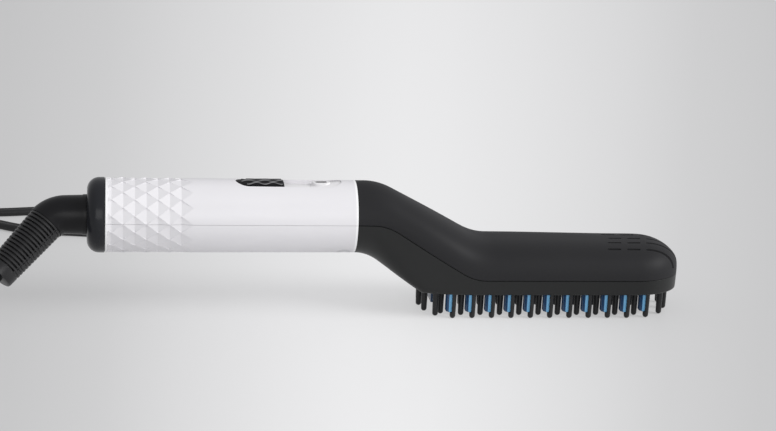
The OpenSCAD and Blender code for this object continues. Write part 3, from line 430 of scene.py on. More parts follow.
def crossing(k, i, m):
    """Where two facets' sloping edges cross, between corner i of ring k and corner m of the next."""
    if (k, i, m) not in crossings:
        a, b = corners[k][i], corners[k + 1][m]
        middle = handle.verts.new((a.co + sunk[k][i].co + b.co + sunk[k + 1][m].co) / 4)
        crossings[k, i, m] = middle
        facets.append(handle.faces.new((a, sunk[k][i], middle)))
        facets.append(handle.faces.new((b, sunk[k + 1][m], middle)))
    return crossings[k, i, m]


for k in range(7):
    for i in range(grip_sides):
        j = (i + 1) % grip_sides
        front_point, rear_point = (i, j) if k % 2 == 0 else (j, i)
        facets.append(handle.faces.new((
            sunk[k][i], crossing(k, i, front_point), corners[k + 1][front_point],
            crossing(k, j, front_point), sunk[k][j])))
        facets.append(handle.faces.new((
            sunk[k + 1][i], crossing(k, rear_point, i), corners[k][rear_point],
            crossing(k, rear_point, j), sunk[k + 1][j])))
grip_end = grip_first + 8 * grip_step
whole = ring(handle, grip_end, handle_radius(grip_end), 6 * grip_sides)
for i in range(grip_sides):
    j = (i + 1) % grip_sides
    facets.append(handle.faces.new((sunk[7][i], sunk[7][j], whole[6 * j])))
    facets += [handle.faces.new((corners[7][m], sunk[7][m], whole[6 * j])) for m in (i, j)]
    for k in range(6 * i, 6 * i + 6):
        handle.faces.new((corners[7][i], whole[k], whole[(k + 1) % len(whole)]))
for facet in facets:
    for edge in facet.edges:
        edge.smooth = False
smooth_part = [f for f in handle.faces if f not in set(facets)]
front = ring(handle, handle_front, handle_radius(handle_front), 6 * grip_sides)
smooth_part += band(handle, whole, front)
for face in smooth_part:
    face.smooth = True
cut = bmesh.ops.bisect_plane(handle, geom=handle.verts[:] + handle.edges[:] + handle.faces[:],
                             plane_co=spot(lip_end, 0, 0), plane_no=(1, 0, 0), clear_inner=True)["geom_cut"]
grip_edge = [e for e in cut if isinstance(e, bmesh.types.BMEdge)]
lip = ring(handle, lip_end, lip_radius, 6 * grip_sides)
lip_edge = [e for e in handle.edges if e.verts[0] in set(lip) and e.verts[1] in set(lip)]
bmesh.ops.triangle_fill(handle, use_beauty=True, edges=grip_edge + lip_edge)
lip_rear = ring(handle, handle_rear + 0.15, lip_radius, 6 * grip_sides)
lip_face = ring(handle, handle_rear, lip_radius - 0.15, 6 * grip_sides)
bore_rear = ring(handle, handle_rear, 11.2, 6 * grip_sides)
bore_front = ring(handle, handle_front, 10.85, 6 * grip_sides)
for a, b in ((lip, lip_rear), (lip_rear, lip_face), (lip_face, bore_rear), (bore_rear, bore_front),
             (bore_front, front)):
    for face in band(handle, a, b):
        face.smooth = a is bore_rear
bmesh.ops.recalc_face_normals(handle, faces=handle.faces)
openings = oblong(bmesh.new(), window_rear, window_front, 10, 36, 60, 24)
for y in (-screw_y, screw_y):
    added(openings, turned_mesh([(-8, 0), (-8, 2.4), (0, 2.4), (0, 1.3), (4, 1.3), (4, 0)],
                                spot(screw_x, y, screw_seat), Vector((0, 0, 1)), 32))
handle_mesh = cutter("handle_openings", openings, mesh_of(handle, "handle"))


def white_with_painted_rim_highlight():
    """Material: satin white plastic, with a painted highlight: whiter on the narrow rings at both ends."""
    made = moulded("white_satin", (0.8, 0.79, 0.81), 0.36, 0.04, 1500, 0.000004, gloss=0.5)
    nodes, links = made.node_tree.nodes, made.node_tree.links
    surface = next(n for n in nodes if n.type == "GROUP")
    split = nodes.new("ShaderNodeSeparateXYZ")
    links.new(nodes.new("ShaderNodeTexCoord").outputs["Object"], split.inputs[0])
    middle = nodes.new("ShaderNodeMath")
    middle.operation = "SUBTRACT"
    middle.inputs[1].default_value = spot((handle_rear + handle_front) / 2, 0, 0).x
    links.new(split.outputs["X"], middle.inputs[0])
    distance = nodes.new("ShaderNodeMath")
    distance.operation = "ABSOLUTE"
    links.new(middle.outputs[0], distance.inputs[0])
    # painted highlight: the narrow rings at both ends of the handle get a whiter colour
    rim_highlight_mask = nodes.new("ShaderNodeMapRange")
    rim_highlight_mask.inputs["From Min"].default_value = ((handle_front - handle_rear) / 2 - 0.75) * mm
    rim_highlight_mask.inputs["From Max"].default_value = ((handle_front - handle_rear) / 2 - 0.65) * mm
    links.new(distance.outputs[0], rim_highlight_mask.inputs["Value"])
    tint = nodes.new("ShaderNodeMix")
    tint.data_type = "RGBA"
    tint.inputs["A"].default_value = (0.8, 0.79, 0.81, 1)
    tint.inputs["B"].default_value = (0.95, 0.95, 0.95, 1)
    links.new(rim_highlight_mask.outputs["Result"], tint.inputs["Factor"])
    links.new(tint.outputs["Result"], surface.inputs["Colour"])
    return made


white_satin = white_with_painted_rim_highlight()
for name, node, side in (("handle_upper", "handle_upper_shell", 1),
                         ("handle_lower", "handle_lower_shell", -1)):
    half = bmesh.new()
    half.from_mesh(handle_mesh)
    seam = bmesh.ops.bisect_plane(half, geom=half.verts[:] + half.edges[:] + half.faces[:], dist=1e-7,
                                  plane_co=(0, 0, (axis_z + side * 0.05) * mm), plane_no=(0, 0, side),
                                  clear_inner=True)["geom_cut"]
    bmesh.ops.holes_fill(half, edges=[e for e in half.edges if e.is_boundary], sides=0)
    for edge in seam:
        if isinstance(edge, bmesh.types.BMEdge) and edge.is_valid:
            edge.smooth = False
    shell = keep_piece(name, mesh_of(half, name), white_satin, 0)
    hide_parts(node)
    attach(shell, "comb_body")

# Switch: a white bezel let into the handle, a black sliding knob with a moulded wave grip on its
# rounded-left, square-right body, and a smoked slit lens in an oval rim on a rising front plate.
lens_hole = (78.4, 82.7)
plate_rear = 76.9


def draped(made, radius):
    """Cuts a standing shape into strips and lays it over the handle's round back."""
    reach = max(abs(v.co.y) for v in made.verts) / mm
    for k in range(-int(reach / 0.5), int(reach / 0.5) + 1):
        bmesh.ops.bisect_plane(made, geom=made.verts[:] + made.edges[:] + made.faces[:],
                               plane_co=(0, k * 0.5 * mm, 0), plane_no=(0, 1, 0), dist=1e-7)
    for v in made.verts:
        v.co.z += (math.sqrt(radius ** 2 - (v.co.y / mm) ** 2) - radius) * mm
    return made


def top_bevel(made, z, width):
    """Rounds the edges that run round the top face at the given height."""
    rim = [e for e in made.edges if all(abs(v.co.z / mm - z) < 0.01 for v in e.verts)]
    bmesh.ops.bevel(made, geom=rim, offset=width * mm, segments=4, profile=0.5, affect="EDGES")
    return made


bezel = bmesh.new()
for x0, x1, width, low, high, rounding, rear_cut in (
        (window_rear + 0.1, window_front - 0.1, 9.8, 42.3, 43.77, 0.1, 0),
        (window_rear - 1.2, window_front + 1.2, 12.4, 42.1, 43.36, 0.1, 0),
        (62, window_front - 0.1, 9.8, 43.4, 43.9, 0.1, plate_rear),
        (plate_rear + 0.4, 83.8, 4.4, 43.6, 44.95, 0.35, 0)):
    layer = top_bevel(oblong(bmesh.new(), x0, x1, width, low, high), high, rounding)
    if rear_cut:
        bmesh.ops.bisect_plane(layer, geom=layer.verts[:] + layer.edges[:] + layer.faces[:],
                               plane_co=spot(rear_cut, 0, 0), plane_no=(1, 0, 0), clear_inner=True)
        bmesh.ops.holes_fill(layer, edges=[e for e in layer.edges if e.is_boundary], sides=0)
        for v in layer.verts:
            if v.co.z > (low + 0.05) * mm:
                v.co.z += (v.co.x - spot(rear_cut, 0, 0).x) * 0.1
    layer_mesh = mesh_of(draped(layer, high - axis_z), "bezel_layer")
    layer_mesh = cutter("lens_hole", oblong(bmesh.new(), *lens_hole, 2.0, 38, 50), layer_mesh)
    if low < 43:
        layer_mesh = cutter("stem_slot", oblong(bmesh.new(), 56.4, 67.0, 4.6, 38, 50), layer_mesh)
    bezel.from_mesh(layer_mesh)
    bpy.data.meshes.remove(layer_mesh)
bezel_mesh = mesh_of(bezel, "bezel")
bezel_white = moulded("bezel_white", (0.83, 0.82, 0.83), 0.3, 0.04, 1500, 0.000003, gloss=0.5)
switch_bezel = keep_piece("bezel", bezel_mesh, bezel_white, 30)
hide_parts("switch_bezel")
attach(switch_bezel, "comb_body")

lens = oblong(bmesh.new(), lens_hole[0] + 0.05, lens_hole[1] - 0.05, 1.9, 41.5, 44.87)
lens = draped(top_bevel(lens, 44.87, 0.2), 12.27)
smoked = moulded("smoked_lens", (0.018, 0.013, 0.015), 0.5, 0.1, 400, 0.000001, gloss=0.05)
led_lens = keep_piece("slit_lens", mesh_of(lens, "slit_lens"), smoked, 30)
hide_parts("led_lens")
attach(led_lens, "comb_body")

slider = oblong(bmesh.new(), 50.9, 78.2, 8.9, 44.07, 45.22)
bmesh.ops.bisect_plane(slider, geom=slider.verts[:] + slider.edges[:] + slider.faces[:],
                       plane_co=spot(67.5, 0, 0), plane_no=(1, 0, 0), clear_outer=True)
bmesh.ops.holes_fill(slider, edges=[e for e in slider.edges if e.is_boundary], sides=0)
slider = draped(top_bevel(slider, 45.22, 0.3), 12.62)
for row in (-3.0, -1.0, 1.0, 3.0):
    wave = bmesh.new()
    side_sign = 1 if row in (-3.0, 1.0) else -1
    start = 52.8 if abs(row) < 2 else 54.6
    loop = bmesh.ops.create_circle(wave, cap_ends=True, segments=10, radius=0.36 * mm)["verts"]
    bmesh.ops.rotate(wave, verts=loop, cent=(0, 0, 0), matrix=Matrix.Rotation(math.radians(90), 3, "Y"))
    steps = int((66.9 - start) / 0.3)
    last = wave.faces[:]
    for k in range(steps + 1):
        x = start + k * 0.3
        y = row + side_sign * 0.62 * math.cos(math.tau * (x - 52.2) / 5.7)
        place = spot(x, y, axis_z + math.sqrt(12.6 ** 2 - y ** 2))
        if k:
            raised = bmesh.ops.extrude_face_region(wave, geom=last)["geom"]
            if k > 1:
                bmesh.ops.delete(wave, geom=last, context="FACES_ONLY")
            last = [f for f in raised if isinstance(f, bmesh.types.BMFace)]
            moved = [v for v in raised if isinstance(v, bmesh.types.BMVert)]
        else:
            moved = list(loop)
        bmesh.ops.translate(wave, verts=moved, vec=place - before if k else place)
        before = place
    bmesh.ops.recalc_face_normals(wave, faces=wave.faces)
    added(slider, wave)
added(slider, oblong(bmesh.new(), 56.7, 61.7, 4, 39.6, 44.4, 2))


def slider_with_painted_crest_highlight():
    """Material: black moulded knob, with a painted highlight: lighter on the crests of its grip."""
    made = moulded("slider_black", (0.006, 0.006, 0.007), 0.42, 0.1, 2500, 0.000006, gloss=0.12)
    nodes, links = made.node_tree.nodes, made.node_tree.links
    surface = next(n for n in nodes if n.type == "GROUP")
    split = nodes.new("ShaderNodeSeparateXYZ")
    links.new(nodes.new("ShaderNodeTexCoord").outputs["Object"], split.inputs[0])
    lifted = nodes.new("ShaderNodeMath")
    lifted.operation = "SUBTRACT"
    lifted.inputs[1].default_value = axis_z * mm
    links.new(split.outputs["Z"], lifted.inputs[0])
    across = nodes.new("ShaderNodeCombineXYZ")
    links.new(split.outputs["Y"], across.inputs["Y"])
    links.new(lifted.outputs[0], across.inputs["Z"])
    radius = nodes.new("ShaderNodeVectorMath")
    radius.operation = "LENGTH"
    links.new(across.outputs[0], radius.inputs[0])
    # painted highlight: the grip's raised crests get a lighter grey
    crest_highlight_mask = nodes.new("ShaderNodeMapRange")
    crest_highlight_mask.inputs["From Min"].default_value = 12.72 * mm
    crest_highlight_mask.inputs["From Max"].default_value = 12.9 * mm
    links.new(radius.outputs["Value"], crest_highlight_mask.inputs["Value"])
    tint = nodes.new("ShaderNodeMix")
    tint.data_type = "RGBA"
    tint.inputs["A"].default_value = (0.006, 0.006, 0.007, 1)
    tint.inputs["B"].default_value = (0.2, 0.2, 0.205, 1)
    links.new(crest_highlight_mask.outputs["Result"], tint.inputs["Factor"])
    links.new(tint.outputs["Result"], surface.inputs["Colour"])
    return made


switch_slider = keep_piece("slider_knob", mesh_of(slider, "slider_knob"), slider_with_painted_crest_highlight(), 30)
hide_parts("switch_slider")
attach(switch_slider, "slider")

# Head: the neck and head in two black halves that part along one line, a matte cover with a hard
# crown and vent slots at the tip, and a frame that holds the comb plate in its flat base.
neck_x, head_x, nose_x, tip_x = 92.7, 114.8, 192.5, 210.0
base_z, parting_z, crown_z, nose_z = 8.75, 14.2, 25.6, 16.5
wall = 1.8


def ramp(t, a, b):
    """From 0 to 1: a parabola over the first share a and the last share b, straight between."""
    m = 1 / (1 - a / 2 - b / 2)
    if t <= 0 or t >= 1:
        return 0.0 if t <= 0 else 1.0
    if t < a:
        return m * t * t / (2 * a)
    return 1 - m * (1 - t) ** 2 / (2 * b) if t > 1 - b else m * (t - a / 2)


def span(x, x0, x1):
    return (x - x0) / (x1 - x0)


def parting(x):
    return axis_z + (parting_z - axis_z) * ramp(span(x, 98.7, 138), 0.22, 0.22)


def crown(x):
    low = crown_z - 0.6 * ramp(span(x, 141.5, nose_x), 0.3, 0.3)
    return 45.25 + (low - 45.25) * ramp(span(x, 95.7, 141.5), 0.22, 0.22)


def top(x, t):
    if x <= 197:
        return crown(x) - t
    return nose_z + (crown(197) - t - nose_z) * math.sqrt(max(0, 1 - span(x, 197, tip_x - t) ** 2))


def bottom(x, t):
    belly = 19.95 + (base_z - 19.95) * ramp(span(x, 92.1, head_x + 1), 0.38, 0.02)
    return max(belly + t, base_z + t + (parting_z - base_z - t) * span(x, tip_x - 1.4, tip_x))


def half_width(x, t):
    if x <= nose_x:
        return 12.65 - t + 4.85 * ramp(span(x, neck_x, 128.8), 0.4, 0.4)
    return (17.5 - t) * math.sqrt(max(0, 1 - ((x - nose_x) / (17.5 - t)) ** 2))


def shell_half(name, upper, columns=132, rows=64):
    """One half of the head: outer and inner skins, joined along the parting line and the neck."""
    made = bmesh.new()
    skins = []
    for t in (0, wall):
        grid = bmesh.ops.create_grid(made, x_segments=columns, y_segments=rows, size=1)["verts"]
        skin = [[None] * (rows + 1) for _ in range(columns + 1)]
        for v in grid:
            i, j = round((v.co.x + 1) / 2 * columns), round((v.co.y + 1) / 2 * rows)
            skin[i][j] = v
            u = i / columns
            if u < 0.55:
                x = neck_x + (150 - neck_x) * u / 0.55
            elif u < 0.75:
                x = 150 + (nose_x - 150) * (u - 0.55) / 0.2
            else:
                x = nose_x + (17.5 - t) * math.sin(math.radians(90 * (u - 0.75) / 0.25))
            z0, w = parting(x), half_width(x, t)
            height = (top(x, t) if upper else bottom(x, t)) - z0
            power = 2 + 0.7 * ramp(span(x, neck_x, 128.8), 0.4, 0.4) if upper else \
                2 + 22 * ramp(span(x, neck_x + 4, 128.8), 0.6, 0.3)
            angle = math.pi * j / rows
            if j in (1, rows - 1):
                angle = math.atan2(0.2, max(abs(height), 0.5))
                angle = angle if j == 1 else math.pi - angle
            c, s = math.cos(angle), math.sin(angle)
            reach = (abs(c) ** power + abs(s) ** power) ** (-1 / power)
            y, z = w * c * reach, z0 + height * s * reach
            if not upper:
                y -= math.copysign(min(0.3 * s * reach, abs(y)), y)
            if t == 0 and j in (0, rows):
                y -= math.copysign(min(0.22, abs(y)), y)
                z += 0.03 if upper else -0.03
            if t == 0 and i == 0:
                y, z = y * 0.985, axis_z + (z - axis_z) * 0.985
            if t == 0 and i == 1:
                x = neck_x + 0.2
            v.co = spot(x, y, z)
        skins.append(skin)
    outer, inner = skins
    for i in range(columns):
        for j in (0, rows):
            made.faces.new((outer[i][j], outer[i + 1][j], inner[i + 1][j], inner[i][j]))
    for j in range(rows):
        made.faces.new((outer[0][j], outer[0][j + 1], inner[0][j + 1], inner[0][j]))
    for j in (0, rows):
        made.faces.new((outer[columns][j], inner[columns][j], inner[columns][rows // 2],
                        outer[columns][rows // 2]))
    bmesh.ops.remove_doubles(made, verts=made.verts, dist=0.004 * mm)
    bmesh.ops.dissolve_degenerate(made, edges=made.edges, dist=0.002 * mm)
    bmesh.ops.recalc_face_normals(made, faces=made.faces)
    return made


def base_plan(made, inset, z0, z1):
    """A standing prism with the plan of the head's base: an elliptic rear end and a round nose."""
    outline = []
    for middle, reach, start in ((126.8, 12 - inset, 90), (191.4, 17.5 - inset, -90)):
        for k in range(33):
            a = math.radians(start + 180 * k / 32)
            x, y = middle + reach * math.cos(a), (17.2 - inset) * math.sin(a)
            outline.append(made.verts.new(spot(x, y, z0)))
    raised = bmesh.ops.extrude_face_region(made, geom=[made.faces.new(outline)])["geom"]
    bmesh.ops.translate(made, verts=[v for v in raised if isinstance(v, bmesh.types.BMVert)],
                        vec=(0, 0, (z1 - z0) * mm))
    bmesh.ops.recalc_face_normals(made, faces=made.faces)
    return made


vents = bmesh.new()
for row in range(-2, 3):
    for x0, x1, z in ((184.5, 189.5, 19), (191.5, 196.5, 19), (198.5, 220, 17)):
        slot = oblong(bmesh.new(), x0 - 1.3 * abs(row), x1 - 1.3 * abs(row), 1.05, z, 40, 6)
        bmesh.ops.translate(slot, verts=slot.verts, vec=(0, row * 5.2 * mm, 0))
        added(vents, slot)
cover_mesh = cutter("vent_slots", vents, mesh_of(shell_half("cover", True), "cover"))
matte_black = moulded("matte_black", (0.0235, 0.0235, 0.025), 0.5, 0.12, 3000, 0.000012, gloss=0.1)
head_cover = keep_piece("head_cover", cover_mesh, matte_black, 30)
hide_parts("head_upper_cover")
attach(head_cover, "comb_body")

frame_mesh = cutter("base_opening", base_plan(bmesh.new(), 0.75, 4, 10.85),
                    mesh_of(shell_half("frame", False), "frame"))
satin_black = moulded("satin_black_frame", (0.012, 0.0125, 0.0125), 0.4, 0.12, 2600, 0.00001)
head_frame = keep_piece("head_frame", frame_mesh, satin_black, 30)
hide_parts("head_lower_frame")
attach(head_frame, "comb_body")

# Guard teeth: moulded black teeth with round tips in an outer ring, two inner rows and one middle
# row. Those in front of a heated fin are cut back behind, above their tips, so that the fin fits.
row_start, row_pitch, row_count = 126.8, 6.95, 10
outer_y, inner_y = 15.0, 11.6


def even_places(path, step, count):
    """Places along a bent line, one after each step."""
    places, left = [], step
    for a, b in zip(path, path[1:]):
        reach, used = math.dist(a, b), 0.0
        while used + left <= reach and len(places) < count:
            used += left
            t = used / reach
            places.append((a[0] + (b[0] - a[0]) * t, a[1] + (b[1] - a[1]) * t))
            left = step
        left -= reach - used
    return places


def line_length(path):
    return sum(math.dist(a, b) for a, b in zip(path, path[1:]))


def planted(mesh, places):
    """One mesh with a copy of the tooth at each place."""
    made = bmesh.new()
    for x, y in places:
        known = len(made.verts)
        made.from_mesh(mesh)
        made.verts.ensure_lookup_table()
        bmesh.ops.translate(made, verts=made.verts[known:], vec=spot(x, y, 0))
    bpy.data.meshes.remove(mesh)
    return made


def tooth_mesh():
    profile = [(1 - math.cos(math.radians(a)), math.sin(math.radians(a))) for a in range(0, 91, 15)]
    return turned_mesh(profile + [(8.3, 1.14), (8.75, 1.22), (9.05, 1.4), (9.05, 0)],
                       Vector((0, 0, 0)), Vector((0, 0, 1)), 28)


rear_arc = [(row_start - 9.8 * math.cos(math.radians(a)), outer_y * math.sin(math.radians(a)))
            for a in range(0, 91, 2)]
nose_arc = [(row_start + 9 * row_pitch, outer_y)]
nose_arc += [(191.4 + 14.6 * math.cos(math.radians(a)), outer_y * math.sin(math.radians(a)))
             for a in range(90, -1, -2)]
rear_steps = round(line_length(rear_arc) / row_pitch)
rear_places = even_places(rear_arc, line_length(rear_arc) / rear_steps, rear_steps - 1)
nose_places = even_places(nose_arc, line_length(nose_arc) / 3.5, 3)
row_places = [(row_start + i * row_pitch, outer_y) for i in range(row_count)]
guarded = row_places + nose_places[:1]
both = [(x, side * y) for side in (1, -1) for x, y in rear_places + nose_places[1:]]
inner_places, middle_places = [], []
for i in range(row_count + 1):
    x = row_start + (i - 0.5) * row_pitch
    y = inner_y * math.sqrt(max(0, 1 - (max(0, row_start - x) / 6.4) ** 2))
    y *= math.sqrt(max(0, 1 - (max(0, x - 191.4) / 11.2) ** 2))
    inner_places += [(x, y), (x, -y)]
    middle_places.append((x + row_pitch / 4, 0))

notch = bmesh.new()
bmesh.ops.create_cube(notch, size=10 * mm)
bmesh.ops.translate(notch, verts=notch.verts, vec=Vector((-5.35, 0, 7.2)) * mm)
notched = cutter("tooth_notch", notch, mesh_of(tooth_mesh(), "tooth"))
outer = planted(mesh_of(tooth_mesh(), "tooth"), [(row_start - 9.8, 0)] + both)
added(outer, planted(notched, [(x, side * y) for side in (1, -1) for x, y in guarded]))
tooth_black = moulded("tooth_black", (0.014, 0.014, 0.015), 0.36, 0.2, 2600, 0.000008)
for name, node, made in (("outer_teeth", "outer_bristles", outer),
                         ("inner_teeth", "inner_bristles",
                          planted(mesh_of(tooth_mesh(), "tooth"), inner_places)),
                         ("middle_teeth", "centre_bristles",
                          planted(mesh_of(tooth_mesh(), "tooth"), middle_places))):
    teeth = keep_piece(name, mesh_of(made, name), tooth_black, 40)
    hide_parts(node)
    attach(teeth, "comb_body")

# Heated fins: coated metal bars behind the guard teeth and across the middle, with soft lower edges.
# The coating is a glossy blue ceramic, with painted light on the fins' flat ends and painted navy shade on
# their sides.
fins = bmesh.new()
side_fins = [(x, y - 2.6, y + 0.5, side) for x, y in guarded for side in (1, -1)]
middle_fins = [(row_start + (i - 0.75) * row_pitch + 1.4, -4, 4, 1) for i in range(row_count + 1)]
for x, y_in, y_out, side in side_fins + middle_fins:
    fin = bmesh.new()
    outline = [(-0.95, y_in), (0.95, y_in)]
    if y_in > 0:
        outline += [(0.95, y_out - 0.02), (0.9, y_out), (0, y_out), (-0.15, y_out - 0.1),
                    (-0.95, y_out - 1.1)]
    else:
        outline += [(0.95, y_out), (-0.95, y_out)]
    base = fin.faces.new([fin.verts.new(spot(x - 1.4 + dx, y, 2.2)) for dx, y in outline])
    raised = bmesh.ops.extrude_face_region(fin, geom=[base])["geom"]
    bmesh.ops.translate(fin, verts=[v for v in raised if isinstance(v, bmesh.types.BMVert)],
                        vec=(0, 0, 8.65 * mm))
    bmesh.ops.recalc_face_normals(fin, faces=fin.faces)
    lower = [e for e in fin.edges if all(v.co.z < 2.21 * mm for v in e.verts)]
    bmesh.ops.bevel(fin, geom=lower, offset=0.3 * mm, segments=3, profile=0.5, affect="EDGES")
    if side < 0:
        bmesh.ops.scale(fin, verts=fin.verts, vec=(1, -1, 1))
        bmesh.ops.reverse_faces(fin, faces=fin.faces)
    added(fins, fin)
# painted light and shade: the fins' outer ends are marked for a light blue, and the rest of each fin is
# painted navy
painted_light_mark = fins.verts.layers.float.new("painted_light_end")
for v in fins.verts:
    reach = outer_y if v.co.x < spot(190.5, 0, 0).x else nose_places[0][1]
    v[painted_light_mark] = abs(v.co.y) > (reach + 0.45) * mm


def coated_blue():
    """Material: blue ceramic coat with fine speckle, with painted light and shade: light at the outer ends,
    navy further in.
    """
    made = moulded("blue_ceramic", (0.05, 0.2, 0.42), 0.3, 0.15, 3000, 0.000006, coat=0.3)
    nodes, links = made.node_tree.nodes, made.node_tree.links
    surface = next(n for n in nodes if n.type == "GROUP")
    end = nodes.new("ShaderNodeAttribute")
    end.attribute_name = "painted_light_end"
    tint = nodes.new("ShaderNodeMix")
    tint.data_type = "RGBA"
    tint.inputs["A"].default_value = (0.014, 0.055, 0.14, 1)
    tint.inputs["B"].default_value = (0.16, 0.42, 0.68, 1)
    links.new(end.outputs["Fac"], tint.inputs["Factor"])
    links.new(tint.outputs["Result"], surface.inputs["Colour"])
    return made


heated_fins = keep_piece("blue_fins", mesh_of(fins, "blue_fins"), coated_blue(), 40)
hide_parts("heating_fins")
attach(heated_fins, "comb_body")

# Works inside the comb: heater stack with its clamp screws, board, switch and swivel contacts keep
# their plain shapes, and each gets the material of its real part. The tie and pins join them.


def metal_group():
    """Node group: metal with fine streaks along X and slow change of colour and gloss."""
    group = bpy.data.node_groups.new("worked_metal", "ShaderNodeTree")
    for name, kind, direction in (
            ("Colour", "NodeSocketColor", "INPUT"), ("Rough", "NodeSocketFloat", "INPUT"),
            ("Streak", "NodeSocketFloat", "INPUT"), ("Colour", "NodeSocketColor", "OUTPUT"),
            ("Roughness", "NodeSocketFloat", "OUTPUT"), ("Normal", "NodeSocketVector", "OUTPUT")):
        group.interface.new_socket(name=name, in_out=direction, socket_type=kind)
    nodes, links = group.nodes, group.links
    given, out = nodes.new("NodeGroupInput"), nodes.new("NodeGroupOutput")
    stretch = nodes.new("ShaderNodeMapping")
    stretch.inputs["Scale"].default_value = (0.08, 1, 1)
    links.new(nodes.new("ShaderNodeTexCoord").outputs["Object"], stretch.inputs["Vector"])
    noise = nodes.new("ShaderNodeTexNoise")
    noise.inputs["Detail"].default_value = 4
    links.new(stretch.outputs["Vector"], noise.inputs["Vector"])
    links.new(given.outputs["Streak"], noise.inputs["Scale"])
    level = nodes.new("ShaderNodeMapRange")
    level.inputs["To Min"].default_value = 0.8
    level.inputs["To Max"].default_value = 1.2
    links.new(noise.outputs["Fac"], level.inputs["Value"])
    tint = nodes.new("ShaderNodeVectorMath")
    tint.operation = "SCALE"
    links.new(given.outputs["Colour"], tint.inputs[0])
    links.new(level.outputs["Result"], tint.inputs["Scale"])
    links.new(tint.outputs[0], out.inputs["Colour"])
    rough = nodes.new("ShaderNodeMath")
    rough.operation = "MULTIPLY"
    links.new(given.outputs["Rough"], rough.inputs[0])
    links.new(level.outputs["Result"], rough.inputs[1])
    links.new(rough.outputs[0], out.inputs["Roughness"])
    bump = nodes.new("ShaderNodeBump")
    height = nodes.new("ShaderNodeMath")
    height.operation = "MULTIPLY"
    height.inputs[1].default_value = 0.000008
    links.new(noise.outputs["Fac"], height.inputs[0])
    links.new(height.outputs[0], bump.inputs["Height"])
    links.new(bump.outputs["Normal"], out.inputs["Normal"])
    return group


worked_metal = metal_group()


def metal(name, colour, rough, streak=900):
    made = bpy.data.materials.new(name)
    made.use_nodes = True
    nodes, links = made.node_tree.nodes, made.node_tree.links
    shader = nodes["Principled BSDF"]
    shader.inputs["Metallic"].default_value = 1
    surface = nodes.new("ShaderNodeGroup")
    surface.node_tree = worked_metal
    surface.inputs["Colour"].default_value = (*colour, 1)
    surface.inputs["Rough"].default_value = rough
    surface.inputs["Streak"].default_value = streak
    for given, taken in (("Colour", "Base Color"), ("Roughness", "Roughness"), ("Normal", "Normal")):
        links.new(surface.outputs[given], shader.inputs[taken])
    return made


def printed_board():
    """Material: green solder resist over a grid of copper tracks."""
    made = moulded("board_green", (0.02, 0.12, 0.05), 0.35, 0.1, 1500, 0.000004)
    nodes, links = made.node_tree.nodes, made.node_tree.links
    surface = next(n for n in nodes if n.type == "GROUP")
    tracks = nodes.new("ShaderNodeTexBrick")
    tracks.inputs["Scale"].default_value = 260
    tracks.inputs["Mortar Size"].default_value = 0.06
    tracks.inputs["Color1"].default_value = (0.02, 0.12, 0.05, 1)
    tracks.inputs["Color2"].default_value = (0.024, 0.14, 0.06, 1)
    tracks.inputs["Mortar"].default_value = (0.06, 0.22, 0.1, 1)
    links.new(nodes.new("ShaderNodeTexCoord").outputs["Object"], tracks.inputs["Vector"])
    links.new(tracks.outputs["Color"], surface.inputs["Colour"])
    return made


aluminium = metal("cast_aluminium", (0.72, 0.73, 0.74), 0.42)
steel = metal("zinc_steel", (0.58, 0.59, 0.6), 0.3, 1500)
brass = metal("rolled_brass", (0.78, 0.55, 0.24), 0.28, 1200)
lead_silicone = moulded("lead_silicone", (0.4, 0.04, 0.03), 0.5, 0.2, 2000, 0.000008)
black_nylon = moulded("black_nylon", (0.02, 0.02, 0.021), 0.42, 0.2, 2400, 0.00001)
plate_black = moulded("plate_black", (0.014, 0.014, 0.015), 0.45, 0.2, 2200, 0.00001)
for material, nodes_dressed in (
        (aluminium, ("heating_plate", "heater_clamp")),
        (steel, ("clamp_screws", "swivel_clip")),
        (brass, ("electrode_plates", "swivel_contacts", "contact_fingers")),
        (metal("tinned_can", (0.62, 0.63, 0.62), 0.34, 700), ("slide_switch", "thermal_fuse")),
        (metal("nickel_pins", (0.75, 0.74, 0.72), 0.18, 1800), ("plug_pins",)),
        (moulded("ptc_ceramic", (0.26, 0.27, 0.28), 0.6, 0.3, 3500, 0.00002), ("ptc_heater",)),
        (moulded("amber_film", (0.42, 0.19, 0.03), 0.2, 0.15, 800, 0.000003), ("insulating_film",)),
        (moulded("mica_sheet", (0.4, 0.29, 0.15), 0.4, 0.5, 700, 0.00002), ("heat_shield",)),
        (moulded("sensor_bead", (0.2, 0.07, 0.03), 0.25, 0.2, 900, 0.000005), ("temperature_sensor",)),
        (lead_silicone, ("heater_leads", "supply_leads")),
        (printed_board(), ("circuit_board",)),
        (moulded("part_blue", (0.05, 0.14, 0.32), 0.35, 0.2, 1200, 0.000004), ("board_parts",)),
        (moulded("led_epoxy", (0.55, 0.63, 0.75), 0.15, 0.1, 500, 0.000002), ("indicator_led",)),
        (black_nylon, ("switch_lever", "contact_block", "cord_tie")),
        (plate_black, ("comb_plate",))):
    for node in nodes_dressed:
        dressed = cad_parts[node].data
        dressed.materials.clear()
        dressed.materials.append(material)

# Case screws: two steel screws from below, their domed cross-cut heads level with the lower shell.
# They draw the shell against the spigot of the neck.
screws = bmesh.new()
for y in (-screw_y, screw_y):
    dome = [(-1.2 + 0.9 * (k / 8) ** 2, 2.3 * k / 8) for k in range(9)]
    seat = spot(screw_x, y, screw_seat)
    screw = mesh_of(turned_mesh(dome + [(0, 2.3), (0, 1.15), (14.66, 1.15), (14.66, 0)], seat,
                                Vector((0, 0, 1)), 40), "screw")
    for size_x, size_y in ((2.6, 0.5), (0.5, 2.6)):
        slot = bmesh.new()
        for corner in bmesh.ops.create_cube(slot, size=1)["verts"]:
            x, y, z = corner.co
            corner.co = seat + Vector((x * size_x, y * size_y, z * 1.4 - 1.3)) * mm
        screw = cutter("cross_slot", slot, screw)
    screws.from_mesh(screw)
    bpy.data.meshes.remove(screw)
case_screws = keep_piece("domed_screws", mesh_of(screws, "domed_screws"), steel, 30)
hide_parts("case_screws")
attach(case_screws, "comb_body")

